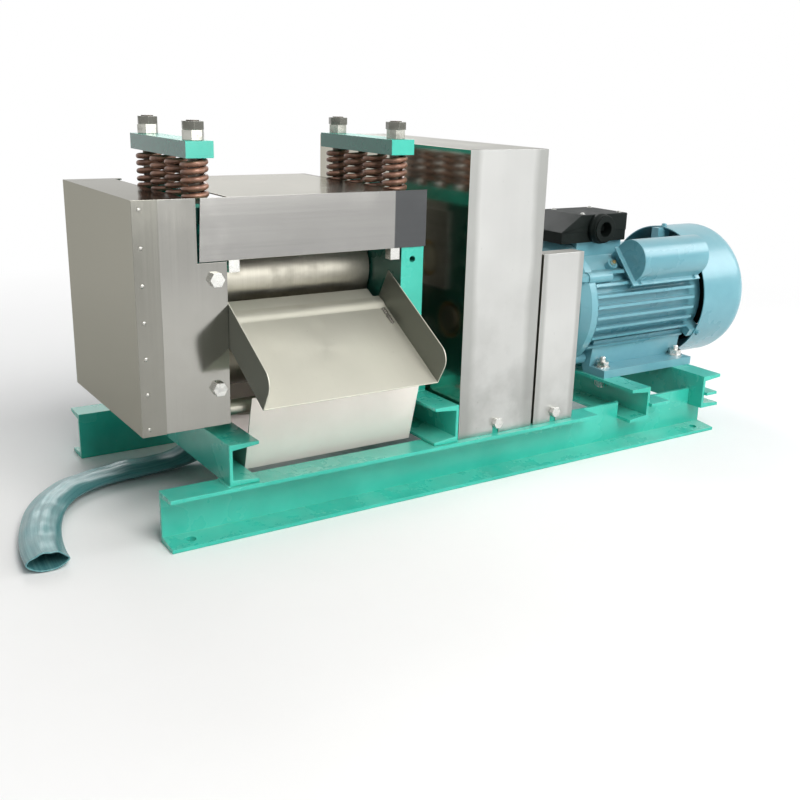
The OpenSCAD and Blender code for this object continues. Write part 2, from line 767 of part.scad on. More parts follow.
module bottom_bushes()
    color(bronze) place() for (x = [cheek_x, right_inner_x], axis = [front_axis, rear_axis]) bush(x, axis);

// A roller with its journals in the cheeks and a left shaft end for the mill gear
module roller(axis, right_end_x) {
    rod_x(left_inner_x + roller_end_gap, right_inner_x - roller_end_gap, axis, roller_d);
    rod_x(cheek_x - clear, right_outer_x + clear, axis, journal_d);
    rod_x(gear_end_x, right_end_x, axis, shaft_end_d);
}

module top_roller() color(bright) place() roller(top_axis, right_outer_x + shaft_stub);

module front_roller() color(bright) place() roller(front_axis, right_outer_x + shaft_stub);

module rear_roller() color(bright) place() roller(rear_axis, main_gear_x + second_face + shaft_stub);

rear_turn = 0;
top_turn = mesh_turn(rear_turn, mill_teeth, mill_teeth, angle_to(rear_axis, top_axis));
front_turn = mesh_turn(top_turn, mill_teeth, mill_teeth, angle_to(top_axis, front_axis));
counter_turn = mesh_turn(0, pinion_teeth, counter_gear_teeth, angle_to(motor_axis, counter_axis));
main_turn = mesh_turn(0, counter_pinion_teeth, main_gear_teeth, angle_to(counter_axis, rear_axis));

module mill_gear(axis, turn)
    gear_x(mill_gear_x, mill_face, axis, mill_teeth, mill_module, mill_thickness_share, turn, shaft_end_d);

module top_mill_gear() color(steel) place() mill_gear(top_axis, top_turn);

module front_mill_gear() color(steel) place() mill_gear(front_axis, front_turn);

module rear_mill_gear() color(steel) place() mill_gear(rear_axis, rear_turn);

module main_gear()
    color(steel) place() gear_x(main_gear_x, second_face, rear_axis, main_gear_teeth, second_module,
        stage_thickness_share, main_turn, shaft_end_d);

// The countershaft carries its pinion in one piece
module countershaft()
    color(steel) place() {
        rod_x(left_plate_x, right_plate_x + gear_plate_t, counter_axis, counter_d);
        along_x(main_gear_x, second_face) translate(counter_axis)
            gear_outline(counter_pinion_teeth, second_module, stage_thickness_share, 0);
    }

module countershaft_gear()
    color(steel) place() gear_x(first_stage_x, first_face, counter_axis, counter_gear_teeth, first_module,
        stage_thickness_share, counter_turn, counter_d);

module countershaft_bearings()
    color(bright) place() for (x = [left_plate_x, right_plate_x]) difference() {
        rod_x(x, x + gear_plate_t, counter_axis, counter_bearing_d);
        rod_x(x - overrun, x + gear_plate_t + overrun, counter_axis, counter_d + 2 * running);
    }

module pinion_shaft()
    color(steel) place() {
        rod_x(first_stage_x, coupling_disc_x, motor_axis, pinion_shaft_d);
        along_x(first_stage_x, first_face) translate(motor_axis)
            gear_outline(pinion_teeth, first_module, stage_thickness_share, 0);
    }

// Bearing cartridge of the pinion shaft, flanged against the right carrier plate
module pinion_cartridge() {
    flange_x = right_plate_x - cartridge_flange_t;
    color(steel) place() difference() {
        union() {
            rod_x(flange_x, coupling_x - clear, motor_axis, cartridge_d);
            rod_x(flange_x, right_plate_x, motor_axis, cartridge_flange_d);
        }
        rod_x(flange_x - overrun, coupling_x + overrun, motor_axis, pinion_shaft_d + 2 * running);
    }
}

// Carrier plate standing on both rails, drawn in Y and Z
plate_inset = 6;
plate_margin = 14;
plate_front_y = plate_inset - drive_cover_front;
plate_back_y = rail_spacing + drive_cover_front - plate_inset;
plate_rise = counter_axis[1] + counter_bearing_d / 2 + plate_margin;
plate_shoulder_z = motor_axis_z;
plate_head = 62;
module gear_plate_outline()
    polygon([[plate_front_y, rail_height], [plate_back_y, rail_height], [plate_back_y, plate_shoulder_z],
        [counter_axis[0] + plate_head, plate_rise], [counter_axis[0] - plate_head, plate_rise],
        [plate_front_y, plate_shoulder_z]]);

module left_gear_plate()
    color(green) place() difference() {
        along_x(left_plate_x, gear_plate_t) gear_plate_outline();
        rod_x(left_plate_x - overrun, left_plate_x + gear_plate_t + overrun, counter_axis,
            counter_bearing_d + 2 * running);
        rod_x(left_plate_x - overrun, left_plate_x + gear_plate_t + overrun, rear_axis,
            shaft_end_d + 2 * shaft_hole_gap);
    }

module right_gear_plate()
    color(green) place() difference() {
        along_x(right_plate_x, gear_plate_t) gear_plate_outline();
        rod_x(right_plate_x - overrun, right_plate_x + gear_plate_t + overrun, counter_axis,
            counter_bearing_d + 2 * running);
        rod_x(right_plate_x - overrun, right_plate_x + gear_plate_t + overrun, motor_axis,
            cartridge_d + 2 * running);
    }

module coupling_halves()
    color(steel) place() {
        difference() {
            rod_x(coupling_x, coupling_disc_x, motor_axis, coupling_d);
            rod_x(coupling_x - overrun, coupling_disc_x + overrun, motor_axis, pinion_shaft_d);
        }
        difference() {
            rod_x(motor_half_x, coupling_end_x, motor_axis, coupling_d);
            rod_x(motor_half_x - overrun, coupling_end_x + overrun, motor_axis, motor_shaft_d);
        }
    }

module coupling_disc() color(dark) place() rod_x(coupling_disc_x, motor_half_x, motor_axis,
    coupling_d - 2 * coupling_disc_inset);

// Left gear cover: five sheets, open below and towards the cheek; its front plate runs on to the cheek,
// and its top stops short of the spring head
module gear_cover() {
    low = [-gear_cover_reach, panel_y, gear_cover_z];
    high = [gear_cover_right_x, gear_cover_back_y, hood_top_z];
    color(bright) place() difference() {
        union() {
            difference() {
                box_between(low, high);
                box_between([low[0] + sheet_t, cheek_front_y, low[2] - overrun],
                    [high[0] + overrun, cheek_back_y, high[2] - sheet_t]);
            }
            box_between([low[0], panel_y, low[2]], [front_plate_end_x, cheek_front_y, panel_z - clear]);
        }
        box_between([high[0] - top_sheet_gap, cheek_front_y + top_sheet_hem, high[2] - sheet_t - overrun],
            [high[0] + overrun, cheek_back_y - top_sheet_hem, high[2] + overrun]);
        for (z = plate_bolt_zs)
            rod_y(panel_y - overrun, cheek_front_y + overrun, plate_bolt_x, z,
                bolt_d + 2 * running);
    }
}

// Hood: front panel over both cheeks and a top sheet between the spring heads
hood_inset = 3;
module hood() {
    color(bright) place() {
        along_y(panel_y, sheet_t) polygon([[hood_x - slit_taper, panel_z], [hood_end_x, panel_z],
            [hood_end_x, hood_top_z], [hood_x, hood_top_z]]);
        box_between([left_inner_x + hood_inset, panel_y, hood_top_z - sheet_t],
            [right_inner_x - hood_inset, gear_cover_back_y, hood_top_z]);
    }
}

// Spacer blocks behind the hood's lower edge, clear of the chute sides
block_size = [13, 12, 14];
block_inset = sheet_t + clear;
module hood_blocks()
    color(bright) place()
        for (x = [left_inner_x + block_inset, right_inner_x - block_inset - block_size[0]])
        box_between([x, cheek_front_y, panel_z - block_size[2]],
            [x + block_size[0], cheek_front_y + block_size[1], panel_z + clear]);

// A bolt hole in a cover's front sheet, open to the sheet's lower edge
module cover_slot(x) {
    back_y = sheet_t - drive_cover_front + overrun;
    rod_y(-drive_cover_front - overrun, back_y, x, guard_bolt_z, cover_slot_w);
    box_between([x - cover_slot_w / 2, -drive_cover_front - overrun, rail_height - overrun],
        [x + cover_slot_w / 2, back_y, guard_bolt_z]);
}

// Drive cover: a tall sheet box over the two gear stages, open below
module drive_cover() {
    low = [drive_cover_x, -drive_cover_front, rail_height];
    high = [drive_end_x, drive_back_y, drive_cover_top_z];
    wall = [sheet_t, sheet_t, sheet_t];
    color(bright) place() difference() {
        box_between(low, high);
        box_between([low[0] + sheet_t, low[1] + sheet_t, low[2] - overrun], high - wall);
        rod_x(low[0] - overrun, low[0] + sheet_t + overrun, rear_axis, shaft_end_d + 2 * wall_hole_gap);
        rod_x(high[0] - sheet_t - overrun, high[0] + overrun, motor_axis,
            cartridge_d + 2 * cartridge_hole_gap);
        cover_slot(cover_bolt_xs[0]);
    }
}

// Coupling guard: a front plate with folded edges, bolted to a foot on the front rail
guard_bolt_rise = 15;
guard_bolt_z = rail_height + guard_bolt_rise;
cover_bolt_xs = [drive_cover_x + drive_cover_w / 2, guard_x + guard_w / 2];
guard_foot = 16;
module guard_blank() {
    inner_x = guard_x + guard_w - sheet_t;
    back_y = guard_return - drive_cover_front;
    difference() {
        box_between([guard_x, -drive_cover_front, rail_height], [guard_x + guard_w, back_y, guard_top_z]);
        box_between([guard_x + sheet_t, sheet_t - drive_cover_front, rail_height + sheet_t],
            [inner_x, back_y + overrun, guard_top_z - sheet_t]);
        box_between([guard_x + sheet_t, guard_foot - drive_cover_front, rail_height - overrun],
            [inner_x, back_y + overrun, rail_height + overrun]);
    }
}

module coupling_guard()
    color(bright) place() difference() {
        guard_blank();
        cover_slot(cover_bolt_xs[1]);
        box_between([cover_bolt_xs[1] - cover_tab_w / 2 - clear, sheet_t - drive_cover_front,
                rail_height - overrun],
            [cover_bolt_xs[1] + cover_tab_w / 2 + clear, guard_foot - drive_cover_front + overrun,
                rail_height + sheet_t + overrun]);
    }

module hex_bolt_y(y, x, z, d, across, length) {
    rod_y(y, y + length, x, z, d);
    translate([x, y, z]) rotate([90, 0, 0]) cylinder(h = bolt_head_h, d = across / cos(30), $fn = 6);
}

// Hex bolts of the gear cover's front plate, the drive cover and the coupling guard
module cover_bolts()
    color(bright) place() {
        for (z = plate_bolt_zs)
            hex_bolt_y(panel_y, plate_bolt_x, z, bolt_d, plate_bolt_across, stud_depth);
        for (x = cover_bolt_xs)
            hex_bolt_y(-drive_cover_front, x, guard_bolt_z, small_bolt_d, small_bolt_across, guard_foot);
    }

// Chute side, drawn along the floor and across it, with its lower corner rounded
module chute_side(length)
    union() {
        translate([chute_round, 0]) square([length - chute_round, chute_side_h]);
        square([chute_round + clear, chute_side_h - chute_round]);
        intersection() {
            translate([chute_round, chute_side_h - chute_round]) circle(r = chute_round);
            square([chute_round + clear, chute_side_h]);
        }
    }

// Discharge chute: a sloping floor with a narrow tongue under the rollers and two upright sides
module discharge_chute()
    color(bright) place() translate([0, -chute_reach, chute_lip_z]) rotate([chute_slope, 0, 0]) {
        box_between([left_inner_x, 0, 0], [right_inner_x, chute_length, sheet_t]);
        box_between([left_inner_x + tongue_inset, chute_length, 0],
            [right_inner_x - tongue_inset, chute_length + tongue_length, sheet_t]);
        along_x(left_inner_x, sheet_t) chute_side(chute_length);
        along_x(right_inner_x - sheet_t, sheet_t) chute_side(chute_length);
    }

// Feed chute: slopes down from the back to the nip of the rear roller
feed_setback = 14;
feed_gap = 3;
feed_low_y = rear_axis_y + feed_setback;
feed_low_z = bottom_axis_z + roller_d / 2 + feed_gap;
module feed_chute()
    color(bright) place() translate([0, feed_low_y, feed_low_z]) rotate([feed_slope, 0, 0]) {
        box_between([left_inner_x, 0, 0], [right_inner_x, feed_length, sheet_t]);
        for (x = [left_inner_x, right_inner_x - sheet_t])
            box_between([x, 0, 0], [x + sheet_t, feed_length, chute_side_h]);
    }

// Juice tray: a shallow pan under the rollers with a tall front that leans outwards
module juice_tray() {
    lean = tray_front_h * tan(tray_front_lean);
    top_z = rail_height + tray_front_h;
    side_z = rail_height + tray_side_h;
    side_lean = tray_side_h * tan(tray_front_lean);
    color(bright) place() difference() {
        union() {
            along_x(tray_x, tray_end_x - tray_x)
                polygon([[tray_front_y, rail_height], [tray_back_y, rail_height], [tray_back_y, side_z],
                    [tray_back_y - sheet_t, side_z], [tray_back_y - sheet_t, rail_height + sheet_t],
                    [tray_front_y + sheet_t, rail_height + sheet_t], [tray_front_y + sheet_t - lean, top_z],
                    [tray_front_y - lean, top_z]]);
            for (x = [tray_x, tray_end_x - sheet_t])
                along_x(x, sheet_t)
                    polygon([[tray_front_y, rail_height], [tray_back_y, rail_height], [tray_back_y, side_z],
                        [tray_front_y - side_lean, side_z]]);
        }
        spout_bore(spout_d - 2 * spout_wall, spout_length + spout_d);
    }
}

// The spout runs back from the hose's first point along the hose's first direction
spout_dir = unit(hose_route[0] - hose_route[1]);
spout_tilt = atan2(spout_dir[2], spout_dir[0]);
module spout_bore(d, length)
    translate([origin_x, origin_y, 0]) translate(hose_route[0]) rotate([0, 90 - spout_tilt, 0])
        translate([0, 0, -overrun]) cylinder(h = length, d = d);

module drain_spout()
    color(bright) place() difference() {
        intersection() {
            translate([origin_x, origin_y, 0]) translate(hose_route[0]) rotate([0, 90 - spout_tilt, 0])
                cylinder(h = spout_length + spout_d, d = spout_d);
            box_between([0, 0, 0], [right_cross_x, rail_spacing, rail_height]);
        }
        spout_bore(spout_d - 2 * spout_wall, spout_length + 2 * spout_d);
    }

// Hose: round at the spout, lying flat on the floor further on
function hose_flatness(i) = min(1, i / hose_flat_steps);
function hose_ring(i) =
    let (p = hose_route[i], d = line_direction(hose_route, i), wide = unit(cross([0, 0, 1], d)),
        tall = cross(d, wide), f = hose_flatness(i), w = hose_d + f * (hose_flat_w - hose_d),
        t = hose_d + f * (hose_flat_t - hose_d))
    [for (k = [0:hose_sides - 1]) let (a = k * 360 / hose_sides)
        p + w / 2 * cos(a) * wide + t / 2 * sin(a) * tall];

module juice_hose() color(hose_blue) tube([for (i = [len(hose_route) - 1:-1:0]) hose_ring(i)]);

// Motor frame: finned barrel, two feet and seats for the terminal box and the capacitor cover
fin_t = 4;
fins_per_side = 4;
skirt_half = 66;
skirt_top = 48;
skirt_root = 30;
skirt_bulge = 8;
skirt_foot = 10;
pad_inset = 8;
pad_root = 10;
seat_inset = 4;
lug_w = 14;
lug_count = 3;
module motor_feet()
    along_x(motor_mid_x - motor_foot_length / 2, motor_foot_length) for (side = [-1, 1])
        polygon([for (p = [[skirt_half - skirt_root, -skirt_top], [skirt_half + skirt_bulge, -skirt_top],
                [foot_hole_span / 2 - foot_hole_d, foot_t - motor_shaft_h],
                [foot_half_span, foot_t - motor_shaft_h], [foot_half_span, -motor_shaft_h],
                [skirt_half - skirt_foot, -motor_shaft_h]])
            [motor_axis_y + side * p[0], motor_axis_z + p[1]]]);

module fin_blades()
    for (side = [-1, 1], i = [0:fins_per_side - 1], up = [-1, 1]) {
        offset_z = up * (i * fin_pitch + fin_pitch / 2);
        box_between([barrel_x, motor_axis_y, motor_axis_z + offset_z - fin_t / 2],
            [barrel_end_x, motor_axis_y + fin_d, motor_axis_z + offset_z + fin_t / 2]);
    }

module motor_frame() {
    color(teal) place() difference() {
        union() {
            rod_x(barrel_x, barrel_end_x + cowl_gap, motor_axis, barrel_d);
            intersection() {
                rod_x(barrel_x, barrel_end_x, motor_axis, fin_d);
                union() {
                    fin_blades();
                    translate([0, 2 * motor_axis_y, 0]) mirror([0, 1, 0]) fin_blades();
                }
            }
            motor_feet();
            box_between([box_x, box_front_y + pad_inset, motor_axis_z + barrel_d / 2 - pad_root],
                [box_x + box_length, box_front_y + box_depth - pad_inset, box_seat_z]);
            translate([0, motor_axis_y, motor_axis_z]) rotate([can_turn, 0, 0])
                box_between([can_x + seat_inset, -can_d / 2, barrel_d / 2 - pad_root],
                    [barrel_end_x, can_d / 2, can_seat_r]);
            for (i = [0:lug_count - 1])
                intersection() {
                    translate([0, motor_axis_y, motor_axis_z]) rotate([i * 360 / lug_count, 0, 0])
                        box_between([barrel_end_x, -lug_w / 2, 0], [cowl_x + lug_w, lug_w / 2, cowl_d]);
                    rod_x(barrel_end_x - overrun, cowl_x + lug_w + overrun, motor_axis,
                        cowl_d - 2 * sheet_t - 2 * fitted);
                    rod_x(barrel_end_x - overrun, cowl_x + lug_w, motor_axis, cowl_d);
                }
            rod_x(barrel_end_x, cowl_x + lug_w, motor_axis, barrel_d);
        }
        rod_x(barrel_x - overrun, barrel_end_x - barrel_wall, motor_axis, barrel_d - 2 * barrel_wall);
        rod_x(barrel_x - overrun, cowl_x + lug_w + overrun, motor_axis, motor_shaft_d + 2 * running);
        for (x = [-1, 1], y = [-1, 1])
            rod_z(motor_seat_z - overrun, motor_seat_z + foot_t + overrun,
                motor_mid_x + x * foot_hole_pitch / 2, motor_axis_y + y * foot_hole_span / 2, foot_hole_d);
    }
}

// End bell at the drive end: a turned shell that closes the barrel and carries the shaft
bell_rim = 24;
bell_nose_d = 76;
module motor_end_bell()
    color(teal) place() translate([bell_x, motor_axis_y, motor_axis_z]) rotate([0, 90, 0]) rotate_extrude()
        polygon([[motor_shaft_d / 2 + running, 0], [bell_nose_d / 2, 0], [bell_nose_d / 2, bell_rim / 3],
            [fin_d / 2 - bell_rim / 2, bell_length - bell_rim],
            [fin_d / 2 - clear, bell_length - bell_rim / 2], [fin_d / 2 - clear, bell_length],
            [motor_shaft_d / 2 + running, bell_length]]);

// Laminated core with its winding overhangs, inside the barrel
winding_gap = 5;
winding_t = 14;
winding_d = barrel_d - 2 * barrel_wall - 2 * winding_gap;
core_bore_d = winding_d - 2 * winding_t;
core_air = 1;
core_length = 120;
winding_reach = 22;
module stator_core() {
    core_x = barrel_x + (barrel_length - barrel_wall - core_length) / 2;
    color(copper) place() difference() {
        union() {
            rod_x(core_x, core_x + core_length, motor_axis, barrel_d - 2 * barrel_wall);
            rod_x(core_x - winding_reach, core_x + core_length + winding_reach, motor_axis, winding_d);
        }
        rod_x(core_x - winding_reach - overrun, core_x + core_length + winding_reach + overrun, motor_axis,
            core_bore_d);
    }
}

fan_gap = 10;
fan_x = cowl_x + lug_w + fan_gap;
fan_w = 34;
fan_tip_gap = 20;
fan_d = cowl_d - 2 * fan_tip_gap;
fan_hub_d = 50;
fan_blade_t = 3;
fan_blades = 7;
module motor_shaft() {
    core_x = barrel_x + (barrel_length - barrel_wall - core_length) / 2;
    color(steel) place() {
        rod_x(motor_half_x, fan_x + fan_w, motor_axis, motor_shaft_d);
        rod_x(core_x, core_x + core_length, motor_axis, core_bore_d - 2 * core_air);
    }
}

module cooling_fan()
    color(dark) place() difference() {
        union() {
            rod_x(fan_x, fan_x + fan_w, motor_axis, fan_hub_d);
            rod_x(fan_x, fan_x + fan_blade_t, motor_axis, fan_d);
            intersection() {
                rod_x(fan_x, fan_x + fan_w, motor_axis, fan_d);
                translate([0, motor_axis_y, motor_axis_z]) for (i = [0:fan_blades - 1])
                    rotate([i * 360 / fan_blades, 0, 0])
                        box_between([fan_x, -fan_blade_t / 2, 0], [fan_x + fan_w, fan_blade_t / 2, fan_d]);
            }
        }
        rod_x(fan_x - overrun, fan_x + fan_w + overrun, motor_axis, motor_shaft_d);
    }

// Fan cowl: a domed shell with rings of air holes in its end
cowl_hole_d = 9;
cowl_ring_shares = [0.21, 0.36, 0.51, 0.66];
cowl_ring_holes = [8, 14, 20, 26];
module cowl_outline(d, length, round)
    union() {
        square([d / 2, length - round]);
        square([d / 2 - round, length]);
        translate([d / 2 - round, length - round]) circle(r = round);
    }

module fan_cowl() {
    outer_r = cowl_d / 2;
    color(teal) place() difference() {
        translate([cowl_x, motor_axis_y, motor_axis_z]) rotate([0, 90, 0]) rotate_extrude()
            intersection() {
                square([outer_r, cowl_length]);
                difference() {
                    cowl_outline(cowl_d, cowl_length, cowl_round);
                    translate([0, -sheet_t])
                        cowl_outline(cowl_d - 2 * sheet_t, cowl_length, cowl_round - sheet_t);
                }
            }
        for (k = [0:len(cowl_ring_holes) - 1], i = [0:cowl_ring_holes[k] - 1])
            rod_x(cowl_end_x - sheet_t - overrun, cowl_end_x + overrun,
                motor_axis + polar(cowl_ring_shares[k] * outer_r, i * 360 / cowl_ring_holes[k]),
                cowl_hole_d);
    }
}

// Terminal box with a sloping inner side, and its cable gland
gland_d = 38;
gland_inset = 34;
gland_reach = 16;
gland_bore_d = 22;
module terminal_box() {
    z = box_seat_z;
    gland_x = box_x + gland_inset;
    gland_z = z + gland_d / 2 + clear;
    color(dark) place() difference() {
        union() {
            along_y(box_front_y, box_depth)
                polygon([[box_x - box_skirt, z], [box_x + box_length, z], [box_x + box_length, z + box_h],
                    [box_x, z + box_h], [box_x - box_skirt, z + box_skirt_h]]);
            rod_y(box_front_y - gland_reach, box_front_y, gland_x, gland_z, gland_d);
        }
        rod_y(box_front_y - gland_reach - overrun, box_front_y + 2 * overrun, gland_x, gland_z,
            gland_bore_d);
    }
}

// Capacitor cover: a round-backed can on a flange, turned towards the discharge side
can_flange_t = 3;
can_flange = 7;
module capacitor_cover()
    color(teal) place() translate([0, motor_axis_y, motor_axis_z]) rotate([can_turn, 0, 0]) {
        can_end_x = can_x + can_length;
        box_between([can_x - can_flange, -can_d / 2 - can_flange, can_seat_r],
            [can_end_x, can_d / 2, can_seat_r + can_flange_t]);
        box_between([can_x, -can_d / 2, can_seat_r], [can_end_x, can_d / 2, can_axis_r]);
        intersection() {
            rod_x(can_x, can_end_x, [0, can_axis_r], can_d);
            box_between([can_x, -can_d / 2, can_seat_r], [can_end_x, can_d / 2, can_axis_r + can_d]);
        }
    }

// Foot bolts through the feet and the channel slots, with washers and nuts
washer_d = 24;
washer_t = 2;
bolt_tip = 3;
module motor_bolts() {
    nut_z = motor_seat_z - flange_root_t - washer_t - bolt_head_h;
    color(bright) place() for (x = [-1, 1], y = [-1, 1]) {
        at = [motor_mid_x + x * foot_hole_pitch / 2, motor_axis_y + y * foot_hole_span / 2];
        top_z = motor_seat_z + foot_t;
        rod_z(nut_z - bolt_tip, top_z + washer_t, at[0], at[1], bolt_d);
        rod_z(top_z, top_z + washer_t, at[0], at[1], washer_d);
        hex_z(top_z + washer_t, bolt_head_h, at[0], at[1], bolt_across);
        hex_z(nut_z, bolt_head_h, at[0], at[1], bolt_across);
        rod_z(nut_z + bolt_head_h, nut_z + bolt_head_h + washer_t, at[0], at[1], bolt_across);
    }
}

front_rail();
rear_rail();
left_cross_channel();
right_cross_channel();
inner_motor_channel();
outer_motor_channel();
tray_bearers();
left_cheek();
right_cheek();
left_foot_plate();
right_foot_plate();
tie_bars();
left_spring_bar();
right_spring_bar();
spring_studs();
stud_nuts();
left_springs();
right_springs();
left_pressure_bar();
right_pressure_bar();
left_bearing_block();
right_bearing_block();
top_bushes();
bottom_bushes();
top_roller();
front_roller();
rear_roller();
top_mill_gear();
front_mill_gear();
rear_mill_gear();
main_gear();
countershaft();
countershaft_gear();
countershaft_bearings();
pinion_shaft();
pinion_cartridge();
left_gear_plate();
right_gear_plate();
coupling_halves();
coupling_disc();
gear_cover();
hood();
hood_blocks();
drive_cover();
coupling_guard();
cover_bolts();
discharge_chute();
feed_chute();
juice_tray();
drain_spout();
juice_hose();
motor_frame();
motor_end_bell();
stator_core();
motor_shaft();
cooling_fan();
fan_cowl();
terminal_box();
capacitor_cover();
motor_bolts();
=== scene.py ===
"""Electric sugarcane juicer: finishes, springs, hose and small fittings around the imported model."""
import math

import bmesh
import bpy
from mathutils import Matrix, Vector


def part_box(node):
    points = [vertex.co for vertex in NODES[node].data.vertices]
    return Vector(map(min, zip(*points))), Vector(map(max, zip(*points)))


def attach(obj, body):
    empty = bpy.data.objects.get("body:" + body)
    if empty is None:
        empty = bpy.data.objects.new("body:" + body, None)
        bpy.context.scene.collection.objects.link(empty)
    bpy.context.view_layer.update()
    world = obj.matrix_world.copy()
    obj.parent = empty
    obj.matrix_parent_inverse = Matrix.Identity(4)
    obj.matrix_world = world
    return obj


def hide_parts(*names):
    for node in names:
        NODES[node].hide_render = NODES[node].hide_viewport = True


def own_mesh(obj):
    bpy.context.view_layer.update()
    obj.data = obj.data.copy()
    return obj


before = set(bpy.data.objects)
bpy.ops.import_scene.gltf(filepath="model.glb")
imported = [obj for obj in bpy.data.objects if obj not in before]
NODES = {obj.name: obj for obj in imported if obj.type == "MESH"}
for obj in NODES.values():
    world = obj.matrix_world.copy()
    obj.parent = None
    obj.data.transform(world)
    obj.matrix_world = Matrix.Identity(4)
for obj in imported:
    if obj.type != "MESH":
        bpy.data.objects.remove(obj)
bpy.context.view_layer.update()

MM = 0.001

# Camera, solved from corners of the rails, channels, covers and bars
EYE = (-0.84881, -1.13590, 0.49788)
VIEW_RIGHT = (0.8383, -0.5445, 0.0257)
VIEW_UP = (0.1409, 0.2620, 0.9547)
VIEW_BACK = (-0.5266, -0.7968, 0.2964)
LENS = 45.33
SENSOR = 36.0

# Juice hose: the route of its middle line, from the drain spout to the open end
HOSE_ROUTE = [Vector(p) * MM for p in (
    (-338, 88, 37), (-352, 88, 29), (-367, 88, 23), (-383, 88, 18), (-401, 87, 14.5), (-420, 86, 12.5),
    (-440, 85, 11.5), (-460, 84, 11), (-480, 82, 11), (-500, 78, 11), (-519, 72, 11), (-537, 64, 11),
    (-553, 53, 11), (-567, 40, 11), (-579, 25, 11), (-589, 9, 11), (-597, -8, 11), (-604, -26, 11),
    (-610, -44, 11), (-615, -62, 11), (-619, -80, 11), (-622, -98, 11), (-624, -116, 11), (-625, -134, 11))]
HOSE_ROUND = 35 * MM
HOSE_FLAT_W = 46 * MM
HOSE_FLAT_T = 21 * MM
HOSE_WALL = 1.4 * MM
# Points of the route after which it lies flat
HOSE_FLAT_AFTER = 5
# Rings from point to point of the route, and points in a ring
HOSE_STEPS = 6
HOSE_SIDES = 36
# Slow swellings of the upper layer: share of the thickness, waves along the hose, start
HOSE_SWELLS = ((0.10, 61.0, 0.0), (0.06, 143.0, 1.1))
# Small ripples there: height, waves across, waves along
HOSE_RIPPLE = (0.7 * MM, 9.0, 37.0)
# How much thinner the folded edges are
HOSE_PINCH = 0.45


def set_camera():
    """The camera at the photograph's viewing angle."""
    lens = bpy.data.cameras.new("photo_camera")
    lens.lens = LENS
    lens.sensor_width = SENSOR
    camera = bpy.data.objects.new("photo_camera", lens)
    turn = Matrix((VIEW_RIGHT, VIEW_UP, VIEW_BACK)).transposed().to_quaternion().normalized()
    camera.matrix_world = Matrix.Translation(EYE) @ turn.to_matrix().to_4x4()
    bpy.context.collection.objects.link(camera)
    bpy.context.scene.camera = camera


# Node helpers

def add(tree, kind, inputs=None, **settings):
    """A node with its settings, and its inputs set to values or linked to sockets."""
    node = tree.nodes.new(kind)
    for key, value in settings.items():
        setattr(node, key, value)
    for key, value in (inputs or {}).items():
        if isinstance(value, bpy.types.NodeSocket):
            tree.links.new(value, node.inputs[key])
        else:
            node.inputs[key].default_value = value
    return node


def result(tree, kind, inputs=None, **settings):
    """The first output of a new node."""
    return add(tree, kind, inputs, **settings).outputs[0]


def noise(tree, place, scale, detail, rough=0.5):
    """Plain noise."""
    return result(tree, "ShaderNodeTexNoise", {
        "Vector": place, "Scale": scale, "Detail": detail, "Roughness": rough})


def maths(tree, operation, first, second=0.0, third=0.0):
    """One sum of up to three values or sockets."""
    return result(tree, "ShaderNodeMath", {0: first, 1: second, 2: third}, operation=operation)


def times(tree, first, second):
    """Two values or sockets multiplied."""
    return maths(tree, "MULTIPLY", first, second)


def part_of(tree, vector, index):
    """One part of a vector: 0 for X, 1 for Y, 2 for Z."""
    return add(tree, "ShaderNodeSeparateXYZ", {0: vector}).outputs[index]


def mix(tree, share, first, second):
    """Two colours mixed by a share."""
    return add(tree, "ShaderNodeMix", {0: share, 6: first, 7: second}, data_type="RGBA").outputs[2]


def spread(tree, value, low, high, to_low=0.0, to_high=1.0):
    """A value's range drawn out to another range, and clamped."""
    return result(tree, "ShaderNodeMapRange", {
        "Value": value, "From Min": low, "From Max": high, "To Min": to_low, "To Max": to_high})


def give_inputs(tree, inputs):
    """Named inputs of a group, with the values that they start from."""
    for label, kind, value in inputs:
        socket = tree.interface.new_socket(name=label, in_out="INPUT", socket_type="NodeSocket" + kind)
        if value is not None:
            socket.default_value = value


def start_group(name, inputs, output):
    """A shader group with named inputs and one value to give; gives its tree, inputs and output."""
    tree = bpy.data.node_groups.new(name, "ShaderNodeTree")
    give_inputs(tree, inputs)
    tree.interface.new_socket(name=output, in_out="OUTPUT", socket_type="NodeSocketFloat")
    return tree, add(tree, "NodeGroupInput").outputs, add(tree, "NodeGroupOutput").inputs[0]


def cloud_group():
    """Soft blotches: a mask from noise between two levels."""
    tree, given, out = start_group("cloudy_mask", [
        ("Place", "Vector", (0, 0, 0)), ("Scale", "Float", 10.0), ("Low", "Float", 0.4),
        ("High", "Float", 0.6)], "Mask")
    blotches = noise(tree, given["Place"], given["Scale"], 4.0, 0.6)
    tree.links.new(spread(tree, blotches, given["Low"], given["High"]), out)
    return tree


def lines_group():
    """Fine brushed or turned lines: noise drawn out along the lines."""
    tree, given, out = start_group("brushed_lines", [
        ("Place", "Vector", (0, 0, 0)), ("Across", "Vector", (1, 1, 1))], "Lines")
    drawn = result(tree, "ShaderNodeMapping", {"Vector": given["Place"], "Scale": given["Across"]})
    fine = noise(tree, drawn, 1.0, 3.0)
    broad = noise(tree, drawn, 0.17, 1.0)
    both = maths(tree, "MULTIPLY_ADD", fine, 0.6, times(tree, broad, 0.4))
    tree.links.new(spread(tree, both, 0.34, 0.66), out)
    return tree


